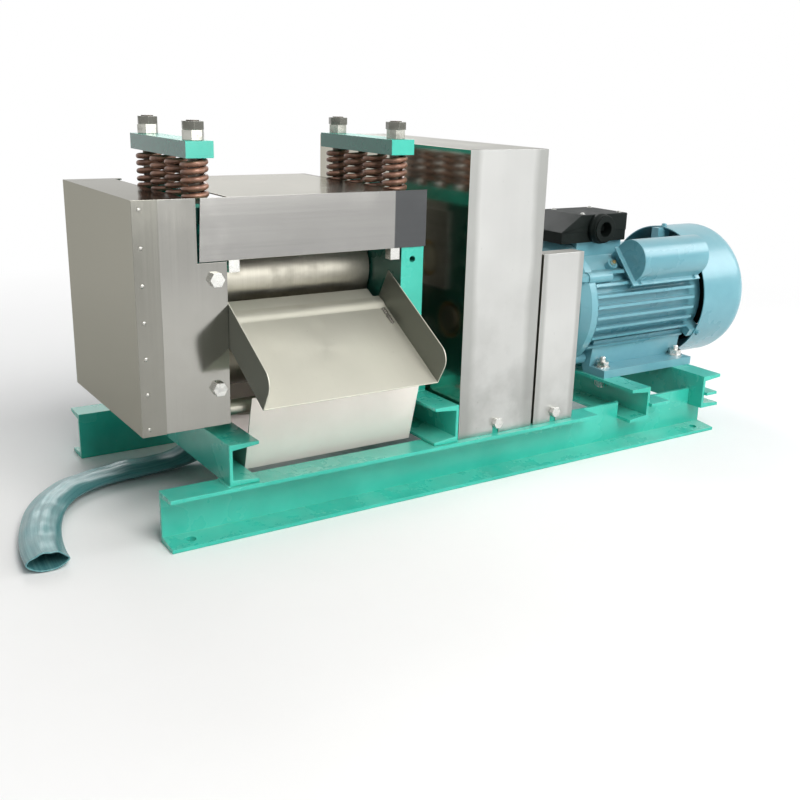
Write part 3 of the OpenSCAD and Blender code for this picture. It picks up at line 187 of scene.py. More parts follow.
def dust_group():
    """Pale dust that lies on faces turned upwards, thinner in patches."""
    tree, given, out = start_group("lying_dust", [
        ("Place", "Vector", (0, 0, 0)), ("Amount", "Float", 0.2)], "Mask")
    up = part_of(tree, add(tree, "ShaderNodeNewGeometry").outputs["Normal"], 2)
    patches = noise(tree, given["Place"], 22.0, 6.0, 0.7)
    lying = times(tree, spread(tree, up, 0.5, 0.95), spread(tree, patches, 0.35, 0.75))
    tree.links.new(times(tree, lying, given["Amount"]), out)
    return tree


def weave_group():
    """Plain weave on a UV map: threads along and across, each with its own rise."""
    tree, given, out = start_group("thread_weave", [
        ("Place", "Vector", (0, 0, 0)), ("Threads", "Vector", (60, 300, 1))], "Height")
    drawn = result(tree, "ShaderNodeMapping", {"Vector": given["Place"], "Scale": given["Threads"]})
    waves = []
    for axis in (0, 1):
        angle = times(tree, part_of(tree, drawn, axis), math.pi)
        waves.append(maths(tree, "ABSOLUTE", maths(tree, "SINE", angle)))
    cells = add(tree, "ShaderNodeTexChecker", {"Vector": drawn, "Scale": 1.0}).outputs[1]
    tree.links.new(result(tree, "ShaderNodeMix", {0: cells, 2: waves[0], 3: waves[1]}), out)
    return tree


def facing_group():
    """A mask for faces turned towards a direction."""
    tree, given, out = start_group("facing_mask", [
        ("Direction", "Vector", (0, 0, 1)), ("Low", "Float", 0.6), ("High", "Float", 0.95)], "Mask")
    normal = add(tree, "ShaderNodeNewGeometry").outputs["True Normal"]
    turned = add(tree, "ShaderNodeVectorMath", {0: normal, 1: given["Direction"]}, operation="DOT_PRODUCT")
    tree.links.new(spread(tree, turned.outputs["Value"], given["Low"], given["High"]), out)
    return tree


def rim_group():
    """A mask along the upright edges of a box, uneven by a little noise."""
    tree, given, out = start_group("rim_mask", [
        ("Place", "Vector", (0, 0, 0)), ("Low", "Vector", (0, 0, 0)), ("High", "Vector", (1, 1, 1)),
        ("Width", "Float", 0.02)], "Mask")
    gaps = [result(tree, "ShaderNodeVectorMath", {0: given[far], 1: given[near]}, operation="SUBTRACT")
        for far, near in (("Place", "Low"), ("High", "Place"))]
    least = result(tree, "ShaderNodeVectorMath", {0: gaps[0], 1: gaps[1]}, operation="MINIMUM")
    inwards = maths(tree, "MAXIMUM", part_of(tree, least, 0), part_of(tree, least, 1))
    uneven = noise(tree, given["Place"], 9.0, 4.0)
    reach = times(tree, given["Width"], spread(tree, uneven, 0.25, 0.75, 0.75, 1.25))
    inner = times(tree, reach, 0.55)
    tree.links.new(maths(tree, "SUBTRACT", 1.0, spread(tree, inwards, inner, reach)), out)
    return tree


CLOUD = cloud_group()
LINES = lines_group()
DUST = dust_group()
WEAVE = weave_group()
FACING = facing_group()
RIM = rim_group()


def placed(tree, group, inputs):
    """A shader group placed in a material, its inputs set or linked; gives its output."""
    return result(tree, "ShaderNodeGroup", inputs, node_tree=group)


def clouds(tree, place, scale, low, high):
    """A mask of soft blotches, from noise at a scale and between two levels."""
    return placed(tree, CLOUD, {"Place": place, "Scale": scale, "Low": low, "High": high})


def start_material(name, constants):
    """A material with its shader's plain values; gives material, tree, shader and Object coordinates."""
    material = bpy.data.materials.new(name)
    material.use_nodes = True
    tree = material.node_tree
    shader = tree.nodes["Principled BSDF"]
    for key, value in constants.items():
        shader.inputs[key].default_value = value
    place = add(tree, "ShaderNodeTexCoord").outputs["Object"]
    return material, tree, shader, place


def dress(tree, shader, colour, rough, relief, strength, distance):
    """The shader's colour, its roughness, and a relief with its strength and its distance."""
    normal = result(tree, "ShaderNodeBump", {"Strength": strength, "Distance": distance, "Height": relief})
    for value, label in ((colour, "Base Color"), (rough, "Roughness"), (normal, "Normal")):
        tree.links.new(value, shader.inputs[label])


# Dust on paint and on plastic, glints and specks on sheet
PAINT_DUST = (0.62, 0.63, 0.58, 1)
PLASTIC_DUST = (0.50, 0.50, 0.47, 1)
SHEET_GLINT = (0.92, 0.91, 0.87, 1)
SHEET_SPECK = (0.20, 0.18, 0.14, 1)


def enamel(name, colour, faded, chip, chips, rough, peel, painted_shade=None):
    """Brushed or sprayed enamel: cloudy colour, small chips, lying dust and a faint orange peel.

    painted_shade gives the places along Y between which a darker colour is painted on as shade, that
    colour, and the ways that the shaded faces turn.
    """
    material, tree, shader, place = start_material(name, {"Coat Weight": 0.25, "Coat Roughness": 0.18})
    cloud = clouds(tree, place, 9.0, 0.35, 0.68)
    small = clouds(tree, place, 210.0, 0.70, 0.73)
    where = clouds(tree, place, 17.0, 0.55, 0.70)
    body = mix(tree, cloud, colour, faded)
    chipped = times(tree, times(tree, small, where), chips)
    body = mix(tree, chipped, body, chip)
    dust = placed(tree, DUST, {"Place": place, "Amount": 0.14})
    body = mix(tree, dust, body, PAINT_DUST)
    # Painted shade: a darker colour on the faces turned the given ways, between two places along Y
    if painted_shade:
        start, end, shade_colour, ways = painted_shade
        depth = part_of(tree, place, 1)
        inside = times(tree, maths(tree, "GREATER_THAN", depth, start),
            maths(tree, "LESS_THAN", depth, end))
        faces = 0.0
        for way in ways:
            faces = maths(tree, "ADD", placed(tree, FACING, {"Direction": way}), faces)
        body = mix(tree, times(tree, times(tree, inside, faces), 0.95), body, shade_colour)
    gloss = maths(tree, "MULTIPLY_ADD", cloud, 0.10, rough)
    worn = maths(tree, "ADD", gloss, times(tree, dust, 0.8))
    dented = maths(tree, "SUBTRACT", noise(tree, place, 620.0, 2.0), times(tree, chipped, 2.0))
    dress(tree, shader, body, worn, dented, peel, 0.0004)
    return material


def sheet_steel(name, light, shade, side, across, scale, rough, side_rough, grain, dark_end=None,
        metal=1.0, rim=None, glance=0.54, low_darkening=None):
    """Rolled stainless sheet: faint polish lines, cloudy smears, and faces turned to -X with their own
    roughness and a colour painted on them for how light falls on that side.

    dark_end gives the place along X where a darker end of the sheet begins, and its colour.
    rim gives the node whose edges are darker, how far in, and the colour there.
    glance gives how pale the sheet gets when seen at a low angle.
    low_darkening gives the heights between which the sheet's darker patches fade out upwards, and their
    colour.
    """
    material, tree, shader, place = start_material(name, {
        "Metallic": metal, "Anisotropic": 0.2, "Specular Tint": (glance, 0.98 * glance, 0.91 * glance, 1)})
    lines = placed(tree, LINES, {"Place": place, "Across": across})
    cloud = clouds(tree, place, scale, 0.30, 0.72)
    smear = clouds(tree, place, 5.2 * scale, 0.52, 0.80)
    spots = clouds(tree, place, 46.0 * scale, 0.70, 0.78)
    turned = placed(tree, FACING, {"Direction": (-1, 0, 0)})
    body = mix(tree, cloud, shade, light)
    body = mix(tree, times(tree, lines, grain), body, SHEET_GLINT)
    body = mix(tree, times(tree, smear, 0.22), body, shade)
    if rim:
        node, width, edge_colour = rim
        low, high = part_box(node)
        edge = placed(tree, RIM, {"Place": place, "Low": low, "High": high, "Width": width})
        body = mix(tree, times(tree, edge, 0.75), body, edge_colour)
    # The sheet darkens towards the bottom in patches, fading out upwards
    if low_darkening:
        full, gone, low_darkening_colour = low_darkening
        fall = spread(tree, part_of(tree, place, 2), full, gone, 0.62, 0.0)
        patch = spread(tree, clouds(tree, place, 13.0, 0.40, 0.58), 0.0, 1.0, 0.45, 1.0)
        body = mix(tree, times(tree, fall, patch), body, low_darkening_colour)
    # Painted light and shade: faces turned to -X take the side colour, which stands in for how they are lit
    body = mix(tree, times(tree, turned, 0.9), body, side)
    # A darker end of the sheet past a place along X
    if dark_end:
        start, dark_end_colour = dark_end
        end = spread(tree, part_of(tree, place, 0), start, start + 1.5 * MM, 0.0, 0.9)
        body = mix(tree, end, body, dark_end_colour)
    body = mix(tree, times(tree, spots, 0.35), body, SHEET_SPECK)
    level = maths(tree, "MULTIPLY_ADD", lines, 0.03, rough)
    level = maths(tree, "ADD", level, times(tree, smear, 0.10))
    level = result(tree, "ShaderNodeMix", {0: turned, 2: level, 3: side_rough})
    dress(tree, shader, body, level, lines, 0.02, 0.0001)
    return material


def worked_metal(name, colour, dark, across, rough, spots, oiled_from=None):
    """Turned, cast, plated or drawn metal: lines of the tool, darker spots and uneven gloss.

    oiled_from gives the height above which old oil darkens the piece.
    """
    material, tree, shader, place = start_material(name, {"Metallic": 1.0})
    lines = placed(tree, LINES, {"Place": place, "Across": across})
    spot = clouds(tree, place, spots, 0.48, 0.75)
    body = mix(tree, times(tree, lines, 0.28), colour, dark)
    body = mix(tree, times(tree, spot, 0.55), body, dark)
    if oiled_from:
        oiled = spread(tree, part_of(tree, place, 2), oiled_from, oiled_from + 1 * MM, 0.0, 0.8)
        body = mix(tree, oiled, body, dark)
    gloss = maths(tree, "MULTIPLY_ADD", spot, 0.22, rough)
    dress(tree, shader, body, gloss, lines, 0.25, 0.0002)
    return material


def lacquer_wire(name, colour, dark):
    """Brown lacquer on spring wire, rubbed and oily in places."""
    material, tree, shader, place = start_material(name, {"Metallic": 0.35, "Coat Weight": 0.3})
    rubbed = clouds(tree, place, 75.0, 0.38, 0.70)
    body = mix(tree, rubbed, dark, colour)
    dress(tree, shader, body, spread(tree, rubbed, 0.0, 1.0, 0.52, 0.34), rubbed, 0.2, 0.0003)
    return material


def moulded(name, colour, grey, grain, rough):
    """Moulded plastic or rubber with a fine spark grain and a dusty bloom."""
    material, tree, shader, place = start_material(name, {"Specular IOR Level": 0.10})
    bloom = clouds(tree, place, 30.0, 0.40, 0.80)
    dust = placed(tree, DUST, {"Place": place, "Amount": 0.015})
    body = mix(tree, times(tree, bloom, 0.5), colour, grey)
    body = mix(tree, dust, body, PLASTIC_DUST)
    gloss = spread(tree, bloom, 0.0, 1.0, rough, rough + 0.14)
    dress(tree, shader, body, gloss, noise(tree, place, grain, 3.0), 0.22, 0.0003)
    return material


def woven_hose(name, colour, pale, deep):
    """Lay-flat hose: a glossy teal skin over a fine slanting weave, with pale streaks along it that are
    painted highlights, and a faint pale haze.
    """
    material, tree, shader, _ = start_material(name, {"Coat Weight": 0.45, "Coat Roughness": 0.22})
    flat = add(tree, "ShaderNodeTexCoord").outputs["UV"]
    slant = result(tree, "ShaderNodeMapping", {"Vector": flat, "Rotation": (0.0, 0.0, math.radians(38))})
    weave = placed(tree, WEAVE, {"Place": slant, "Threads": (210.0, 520.0, 1.0)})
    drawn = result(tree, "ShaderNodeMapping", {"Vector": flat, "Scale": (46.0, 4.0, 1.0)})
    # Painted highlights: pale streaks along the hose
    highlight_streak = clouds(tree, drawn, 1.0, 0.42, 0.66)
    haze = clouds(tree, flat, 9.0, 0.40, 0.75)
    body = mix(tree, weave, deep, colour)
    body = mix(tree, times(tree, highlight_streak, 0.62), body, pale)
    body = mix(tree, times(tree, haze, 0.12), body, pale)
    dress(tree, shader, body, spread(tree, weave, 0.0, 1.0, 0.46, 0.30), weave, 0.30, 0.0003)
    return material


# How fine the lines of rolling, polishing or turning are along X, Y and Z
UPRIGHT_LINES = (420.0, 420.0, 5.0)
LEVEL_LINES = (5.0, 5.0, 620.0)
SLOPE_LINES = (520.0, 4.0, 4.0)
TURNED_LINES = (760.0, 6.0, 6.0)
NO_LINES = (90.0, 90.0, 90.0)

# Where the darker end of the hood's panel begins, along X
MILL_END = -0.1942

CHEEK_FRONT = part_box("left_cheek")[0].y
GREEN_PAINT = ((0.020, 0.405, 0.312, 1), (0.042, 0.505, 0.395, 1), (0.36, 0.42, 0.38, 1), 0.8, 0.20, 0.16)
GREEN = enamel("green_enamel", *GREEN_PAINT)
# Painted shade: the front faces of the left cheek and its pressure bar, seen through the slit, are painted
# near black for the slit's shade
SLIT_SHADE_GREEN = enamel("slit_shade_enamel", *GREEN_PAINT,
    painted_shade=(CHEEK_FRONT - 1 * MM, CHEEK_FRONT + 30 * MM, (0.003, 0.012, 0.010, 1), [(0, -1, 0)]))
# Painted shade: the right cheek's side faces are painted dark green as their shade
INNER_SHADE_GREEN = enamel("inner_shade_enamel", *GREEN_PAINT,
    painted_shade=(CHEEK_FRONT - 1 * MM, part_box("right_cheek")[1].y, (0.008, 0.062, 0.046, 1),
        [(-1, 0, 0), (1, 0, 0)]))
# Painted shade: the spring bars' faces turned to -X are painted darker, for the shade on that side
BAR_SHADE_GREEN = enamel("bar_shade_enamel", *GREEN_PAINT,
    painted_shade=(CHEEK_FRONT - 1 * MM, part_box("left_spring_bar")[1].y + 1 * MM, (0.014, 0.165, 0.124, 1),
        [(-1, 0, 0)]))
MOTOR = enamel("motor_enamel", (0.110, 0.305, 0.368, 1), (0.150, 0.368, 0.432, 1), (0.34, 0.40, 0.40, 1),
    0.1, 0.26, 0.30)
# The third colour of each sheet is painted on its faces turned to -X for how light falls there: painted
# light on the gear cover, painted shade and reflection on the others
COVER_SHEET = sheet_steel("cover_sheet", (0.390, 0.385, 0.357, 1), (0.315, 0.310, 0.284, 1),
    (0.400, 0.394, 0.345, 1), UPRIGHT_LINES, 3.4, 0.10, 0.24, grain=0.03)
HOOD_SHEET = sheet_steel("hood_sheet", (0.390, 0.386, 0.370, 1), (0.335, 0.331, 0.316, 1),
    (0.270, 0.266, 0.250, 1), LEVEL_LINES, 4.0, 0.16, 0.26, grain=0.03,
    dark_end=(MILL_END, (0.085, 0.090, 0.095, 1)), glance=0.80)
SEAM_SHEET = sheet_steel("seam_sheet", (0.285, 0.281, 0.252, 1), (0.225, 0.222, 0.195, 1),
    (0.250, 0.247, 0.212, 1), UPRIGHT_LINES, 5.0, 0.20, 0.26, grain=0.03)
DRIVE_SHEET = sheet_steel("drive_sheet", (0.700, 0.702, 0.686, 1), (0.590, 0.594, 0.577, 1),
    (0.480, 0.462, 0.395, 1), UPRIGHT_LINES, 3.0, 0.30, 0.15, grain=0.04,
    rim=("drive_cover", 22 * MM, (0.380, 0.386, 0.367, 1)), low_darkening=(0.10, 0.30, (0.300, 0.305, 0.290, 1)))
GUARD_SHEET = sheet_steel("guard_sheet", (0.690, 0.692, 0.676, 1), (0.585, 0.589, 0.572, 1),
    (0.480, 0.462, 0.395, 1), UPRIGHT_LINES, 3.0, 0.30, 0.24, grain=0.04,
    rim=("coupling_guard", 10 * MM, (0.400, 0.406, 0.387, 1)), low_darkening=(0.08, 0.20, (0.360, 0.364, 0.345, 1)))
CHUTE_SHEET = sheet_steel("chute_sheet", (0.615, 0.605, 0.524, 1), (0.560, 0.550, 0.472, 1),
    (0.140, 0.152, 0.132, 1), SLOPE_LINES, 5.0, 0.50, 0.34, grain=0.03, metal=0.7)
TRAY_SHEET = sheet_steel("tray_sheet", (0.960, 0.872, 0.825, 1), (0.845, 0.752, 0.705, 1),
    (0.300, 0.304, 0.275, 1), SLOPE_LINES, 6.0, 0.52, 0.40, grain=0.04, metal=0.25)
BURNT = worked_metal("burnt_weld", (0.200, 0.190, 0.165, 1), (0.070, 0.066, 0.058, 1),
    NO_LINES, 0.45, 90.0)
TURNED = worked_metal("turned_steel", (0.53, 0.51, 0.44, 1), (0.33, 0.31, 0.26, 1),
    TURNED_LINES, 0.40, 26.0)
# Painted shade: a darker copy of the turned steel on the lower rollers, which sit in shade
SHADED_ROLLER_STEEL = worked_metal("shaded_roller", (0.230, 0.212, 0.168, 1), (0.095, 0.086, 0.066, 1),
    TURNED_LINES, 0.46, 26.0)
# Dark steel on the spring studs, partly painted shade for the inside of the springs
DARK_STUD_STEEL = worked_metal("dark_stud", (0.130, 0.110, 0.090, 1), (0.045, 0.040, 0.034, 1),
    NO_LINES, 0.42, 70.0)
RIVET = worked_metal("rivet_steel", (0.480, 0.474, 0.440, 1), (0.300, 0.296, 0.270, 1),
    NO_LINES, 0.34, 120.0)
MILLED = worked_metal("milled_steel", (0.46, 0.46, 0.45, 1), (0.20, 0.20, 0.19, 1),
    LEVEL_LINES, 0.34, 38.0)
ZINC = worked_metal("zinc_plate", (0.74, 0.74, 0.71, 1), (0.42, 0.42, 0.40, 1),
    NO_LINES, 0.26, 120.0)
# The upper nuts are the oily ones
NUT_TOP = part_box("left_spring_bar")[1].z + 11 * MM
NUTS = worked_metal("nut_plate", (0.52, 0.52, 0.47, 1), (0.10, 0.10, 0.085, 1), NO_LINES, 0.24, 90.0,
    oiled_from=NUT_TOP)
BRONZE = worked_metal("cast_bronze", (0.56, 0.38, 0.17, 1), (0.30, 0.19, 0.09, 1),
    TURNED_LINES, 0.34, 60.0)
COPPER = worked_metal("winding_copper", (0.62, 0.30, 0.15, 1), (0.32, 0.13, 0.06, 1),
    SLOPE_LINES, 0.38, 60.0)
SPRING = lacquer_wire("spring_lacquer", (0.370, 0.185, 0.118, 1), (0.170, 0.084, 0.055, 1))
BLACK = moulded("black_moulding", (0.006, 0.009, 0.008, 1), (0.016, 0.021, 0.019, 1), 900.0, 0.46)
RUBBER = moulded("coupling_rubber", (0.020, 0.020, 0.020, 1), (0.060, 0.058, 0.055, 1), 500.0, 0.60)
HOSE = woven_hose("hose_weave", (0.062, 0.240, 0.260, 1), (0.205, 0.430, 0.440, 1),
    (0.022, 0.120, 0.135, 1))


# CAD nodes by finish
NODE_FINISHES = (
    (GREEN, "front_rail rear_rail left_cross_channel right_cross_channel inner_motor_channel "
        "outer_motor_channel tray_bearers left_foot_plate right_foot_plate right_pressure_bar "
        "left_gear_plate right_gear_plate"),
    (SLIT_SHADE_GREEN, "left_cheek left_pressure_bar"),
    (INNER_SHADE_GREEN, "right_cheek"),
    (BAR_SHADE_GREEN, "left_spring_bar right_spring_bar"),
    (COVER_SHEET, "gear_cover"),
    (DRIVE_SHEET, "drive_cover"),
    (GUARD_SHEET, "coupling_guard"),
    (HOOD_SHEET, "hood"),
    (CHUTE_SHEET, "discharge_chute feed_chute"),
    (TRAY_SHEET, "juice_tray drain_spout"),
    (TURNED, "top_roller tie_bars countershaft pinion_shaft motor_shaft"),
    (SHADED_ROLLER_STEEL, "front_roller rear_roller"),
    (MILLED, "left_bearing_block right_bearing_block top_mill_gear front_mill_gear rear_mill_gear "
        "main_gear countershaft_gear countershaft_bearings pinion_cartridge coupling_halves"),
    (ZINC, "cover_bolts motor_bolts hood_blocks"),
    (DARK_STUD_STEEL, "spring_studs"),
    (NUTS, "stud_nuts"),
    (BRONZE, "top_bushes bottom_bushes"),
    (SPRING, "left_springs right_springs"),
    (MOTOR, "motor_frame motor_end_bell fan_cowl capacitor_cover"),
    (BLACK, "terminal_box cooling_fan"),
    (RUBBER, "coupling_disc"),
    (COPPER, "stator_core"),
    (HOSE, "juice_hose"))


def paint_nodes():
    """Every CAD node gets the finish of its piece, through its own material slots."""
    for finish, names in NODE_FINISHES:
        for name in names.split():
            for slot in NODES[name].material_slots:
                slot.material = finish


# Geometry Nodes helpers

def start_nodes(name, inputs):
    """A geometry tree with named inputs; gives its tree and input sockets."""
    tree = bpy.data.node_groups.new(name, "GeometryNodeTree")
    tree.interface.new_socket(name="Guide", in_out="INPUT", socket_type="NodeSocketGeometry")
    give_inputs(tree, inputs)
    tree.interface.new_socket(name="Made", in_out="OUTPUT", socket_type="NodeSocketGeometry")
    return tree, add(tree, "NodeGroupInput").outputs


def end_nodes(tree, given, geometry, smooth=True):
    """Every tree ends by realizing its copies and giving them their finish."""
    real = result(tree, "GeometryNodeRealizeInstances", {"Geometry": geometry})
    shaded = result(tree, "GeometryNodeSetShadeSmooth", {"Geometry": real, "Shade Smooth": smooth})
    done = result(tree, "GeometryNodeSetMaterial", {"Geometry": shaded, "Material": given["Finish"]})
    tree.links.new(done, add(tree, "NodeGroupOutput").inputs[0])
    return tree


def stand_on_points(tree, given, shape):
    """Copies of a shape on the guide's points, each standing along its point's facing."""
    facing = result(tree, "GeometryNodeInputNamedAttribute", {"Name": "facing"}, data_type="FLOAT_VECTOR")
    turn = result(tree, "FunctionNodeAlignRotationToVector", {"Vector": facing}, axis="Z")
    return result(tree, "GeometryNodeInstanceOnPoints", {
        "Points": given["Guide"], "Instance": shape, "Rotation": turn})


def rivet_tree():
    """Domed rivet heads."""
    tree, given = start_nodes("rivet_heads", [
        ("Radius", "Float", 0.003), ("Dome", "Float", 0.5), ("Finish", "Material", None)])
    ball = result(tree, "GeometryNodeMeshUVSphere", {"Segments": 14, "Rings": 8, "Radius": given["Radius"]})
    squat = result(tree, "ShaderNodeCombineXYZ", {0: 1.0, 1: 1.0, 2: given["Dome"]})
    head = result(tree, "GeometryNodeTransform", {"Geometry": ball, "Scale": squat})
    return end_nodes(tree, given, stand_on_points(tree, given, head))


def hex_screw_tree():
    """Small hex screws: a washer, a hexagon and its chamfered top."""
    tree, given = start_nodes("hex_screws", [
        ("Radius", "Float", 0.004), ("Height", "Float", 0.003), ("Washer", "Float", 0.006),
        ("Washer Height", "Float", 0.001), ("Finish", "Material", None)])

    def lifted(mesh, height):
        up = result(tree, "ShaderNodeCombineXYZ", {2: height})
        return result(tree, "GeometryNodeTransform", {"Geometry": mesh, "Translation": up})

    half = times(tree, given["Height"], 0.5)
    rim = times(tree, given["Height"], 0.3)
    washer = result(tree, "GeometryNodeMeshCylinder", {
        "Vertices": 20, "Radius": given["Washer"], "Depth": given["Washer Height"]})
    body = result(tree, "GeometryNodeMeshCylinder", {
        "Vertices": 6, "Radius": given["Radius"], "Depth": given["Height"]})
    cap = result(tree, "GeometryNodeMeshCone", {
        "Vertices": 6, "Radius Top": times(tree, given["Radius"], 0.78),
        "Radius Bottom": given["Radius"], "Depth": rim})
    joined = add(tree, "GeometryNodeJoinGeometry")
    for part in (washer, lifted(body, half), lifted(cap, given["Height"])):
        tree.links.new(part, joined.inputs[0])
    return end_nodes(tree, given, stand_on_points(tree, given, joined.outputs[0]), smooth=False)


def weld_tree():
    """Weld beads: overlapping ripples along the guide's lines, each a little different."""
    tree, given = start_nodes("weld_ripples", [
        ("Width", "Float", 0.005), ("Pitch", "Float", 0.002), ("Rise", "Float", 0.45),
        ("Seed", "Int", 7), ("Finish", "Material", None)])
    path = result(tree, "GeometryNodeMeshToCurve", {"Mesh": given["Guide"]})
    spaced = result(tree, "GeometryNodeResampleCurve", {"Curve": path, "Length": given["Pitch"]},
        mode="LENGTH")
    along = result(tree, "GeometryNodeInputTangent")
    turn = result(tree, "FunctionNodeAlignRotationToVector", {"Vector": along}, axis="X")
    grain = result(tree, "GeometryNodeMeshIcoSphere", {
        "Radius": times(tree, given["Width"], 0.5), "Subdivisions": 2})
    low = result(tree, "ShaderNodeCombineXYZ", {0: 0.62, 1: 0.85, 2: given["Rise"]})
    high = result(tree, "ShaderNodeCombineXYZ", {0: 0.85, 1: 1.15, 2: times(tree, given["Rise"], 1.4)})
    size = result(tree, "FunctionNodeRandomValue", {0: low, 1: high, "Seed": given["Seed"]},
        data_type="FLOAT_VECTOR")
    beads = result(tree, "GeometryNodeInstanceOnPoints", {
        "Points": spaced, "Instance": grain, "Rotation": turn, "Scale": size})
    return end_nodes(tree, given, beads)


def spring_tree():
    """Compression springs: one wire wound at a pitch that closes towards both ends."""
    tree, given = start_nodes("wound_springs", [
        ("Mean Radius", "Float", 0.014), ("Wire Radius", "Float", 0.0025), ("Length", "Float", 0.037),
        ("Turns", "Float", 5.5), ("Closing", "Float", 0.14), ("Steps", "Int", 160),
        ("Finish", "Material", None)])
    line = result(tree, "GeometryNodeCurvePrimitiveLine")
    fine = result(tree, "GeometryNodeResampleCurve", {"Curve": line, "Count": given["Steps"]})
    share = result(tree, "GeometryNodeSplineParameter")
    angle = times(tree, times(tree, share, given["Turns"]), 2 * math.pi)
    wave = maths(tree, "SINE", times(tree, share, 2 * math.pi))
    ease = times(tree, times(tree, wave, given["Closing"]), 0.5 / math.pi)
    rise = maths(tree, "SUBTRACT", share, ease)
    free = maths(tree, "SUBTRACT", given["Length"], times(tree, given["Wire Radius"], 2.0))
    height = maths(tree, "ADD", times(tree, rise, free), given["Wire Radius"])
    spot = result(tree, "ShaderNodeCombineXYZ", {
        0: times(tree, maths(tree, "COSINE", angle), given["Mean Radius"]),
        1: times(tree, maths(tree, "SINE", angle), given["Mean Radius"]), 2: height})
    coil = result(tree, "GeometryNodeSetPosition", {"Geometry": fine, "Position": spot})
    wire = result(tree, "GeometryNodeCurvePrimitiveCircle", {
        "Resolution": 12, "Radius": given["Wire Radius"]})
    wound = result(tree, "GeometryNodeCurveToMesh", {
        "Curve": coil, "Profile Curve": wire, "Fill Caps": True})
    copies = result(tree, "GeometryNodeInstanceOnPoints", {"Points": given["Guide"], "Instance": wound})
    return end_nodes(tree, given, copies)


SCREW = hex_screw_tree()
WELD = weld_tree()


def points_mesh(name, places):
    """A guide mesh of points, each with the direction that it faces."""
    guide = bpy.data.meshes.new(name)
    guide.from_pydata([p for p, _ in places], [], [])
    facing = guide.attributes.new("facing", "FLOAT_VECTOR", "POINT")
    for item, (_, direction) in zip(facing.data, places):
        item.vector = direction
    return guide


def lines_mesh(name, runs):
    """A guide mesh of straight runs."""
    guide = bpy.data.meshes.new(name)
    ends = [p for run in runs for p in run]
    guide.from_pydata(ends, [(2 * i, 2 * i + 1) for i in range(len(runs))], [])
    return guide


def linked(name, mesh):
    """An object made of a mesh, in the scene."""
    piece = bpy.data.objects.new(name, mesh)
    bpy.context.collection.objects.link(piece)
    return piece


def settle(piece):
    """A finished piece rides on the base."""
    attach(piece, "base")
    return piece


def built(name, shape, finish):
    """A piece on the base from a built shape, with its finish."""
    mesh = bpy.data.meshes.new(name)
    shape.to_mesh(mesh)
    shape.free()
    mesh.materials.append(finish)
    return settle(linked(name, mesh))


def grow(name, guide, tree, values):
    """A piece on the base from a guide mesh and a geometry tree, made a plain mesh."""
    piece = linked(name, guide)
    modifier = piece.modifiers.new(tree.name, "NODES")
    modifier.node_group = tree
    for item in tree.interface.items_tree:
        if item.item_type == "SOCKET" and item.in_out == "INPUT" and item.name in values:
            modifier[item.identifier] = values[item.name]
    graph = bpy.context.evaluated_depsgraph_get()
    made = bpy.data.meshes.new_from_object(piece.evaluated_get(graph))
    made.name = name
    piece.modifiers.remove(modifier)
    piece.data = made
    return settle(piece)


def screws(name, places, size, finish):
    """Hex screws: size gives a screw's radius and height and its washer's radius and height, in mm."""
    labels = ("Radius", "Height", "Washer", "Washer Height")
    values = {label: value * MM for label, value in zip(labels, size)}
    grow(name, points_mesh(name + "_places", places), SCREW, {**values, "Finish": finish})


def make_springs():
    """Four wound springs in each spring head, in place of the CAD springs."""
    tree = spring_tree()
    turns = 5.1
    wire_radius = 3.3 * MM
    mean_radius = 12.2 * MM
    for side in ("left", "right"):
        low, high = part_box(side + "_springs")
        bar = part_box(side + "_pressure_bar")
        lower_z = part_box(side + "_spring_bar")[0].z - (high.z - low.z)
        span = (high.y - low.y) - (high.x - low.x)
        middle_x = (bar[0].x + bar[1].x) / 2
        first_y = low.y + (high.x - low.x) / 2
        places = [(Vector((middle_x, first_y + span * i / 3, lower_z)), (0, 0, 1)) for i in range(4)]
        piece = grow(side + "_spring_coils", points_mesh(side + "_spring_seats", places), tree, {
            "Mean Radius": mean_radius, "Wire Radius": wire_radius,
            "Length": high.z - low.z, "Turns": turns, "Closing": 0.14, "Steps": 170,
            "Finish": SPRING})
        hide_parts(side + "_springs")
        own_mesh(piece)


def hose_frames():
    """Places, directions and flatness along the hose, smoothed from its route."""
    frames = []
    last = len(HOSE_ROUTE) - 1
    for step in range(last * HOSE_STEPS + 1):
        i = min(step // HOSE_STEPS, last - 1)
        t = step / HOSE_STEPS - i
        before = HOSE_ROUTE[max(i - 1, 0)]
        after = HOSE_ROUTE[min(i + 2, last)]
        a, b = HOSE_ROUTE[i], HOSE_ROUTE[i + 1]
        ta, tb = (b - before) / 2, (after - a) / 2
        p = (2 * t**3 - 3 * t**2 + 1) * a + (t**3 - 2 * t**2 + t) * ta \
            + (3 * t**2 - 2 * t**3) * b + (t**3 - t**2) * tb
        d = (6 * t**2 - 6 * t) * a + (3 * t**2 - 4 * t + 1) * ta + (6 * t - 6 * t**2) * b \
            + (3 * t**2 - 2 * t) * tb
        frames.append((p, d.normalized(), min(1.0, (i + t) / HOSE_FLAT_AFTER)))
    return frames


def hose_ring(place, direction, flat, along, inset):
    """One ring of the hose: round at the spout, then two layers with folded edges that lie on the floor."""
    wide = Vector((0, 0, 1)).cross(direction).normalized()
    tall = direction.cross(wide)
    width = HOSE_ROUND + flat * (HOSE_FLAT_W - HOSE_ROUND) - 2 * inset
    thick = HOSE_ROUND + flat * (HOSE_FLAT_T - HOSE_ROUND) - 2 * inset
    swell = 1 + sum(share * flat * math.sin(along * waves + start) for share, waves, start in HOSE_SWELLS)
    height, over, onward = HOSE_RIPPLE
    ring = []
    for k in range(HOSE_SIDES):
        angle = 2 * math.pi * k / HOSE_SIDES
        across, up = math.cos(angle), math.sin(angle)
        pinch = 1 - HOSE_PINCH * flat * abs(across)**4
        rise = thick / 2 * up * pinch * (swell if up > 0 else 1.0)
        ripple = flat * height * math.sin(across * over + along * onward) * (1 if up > 0 else 0)
        ring.append(place + wide * (width / 2 * across) + tall * (rise + ripple))
    return ring


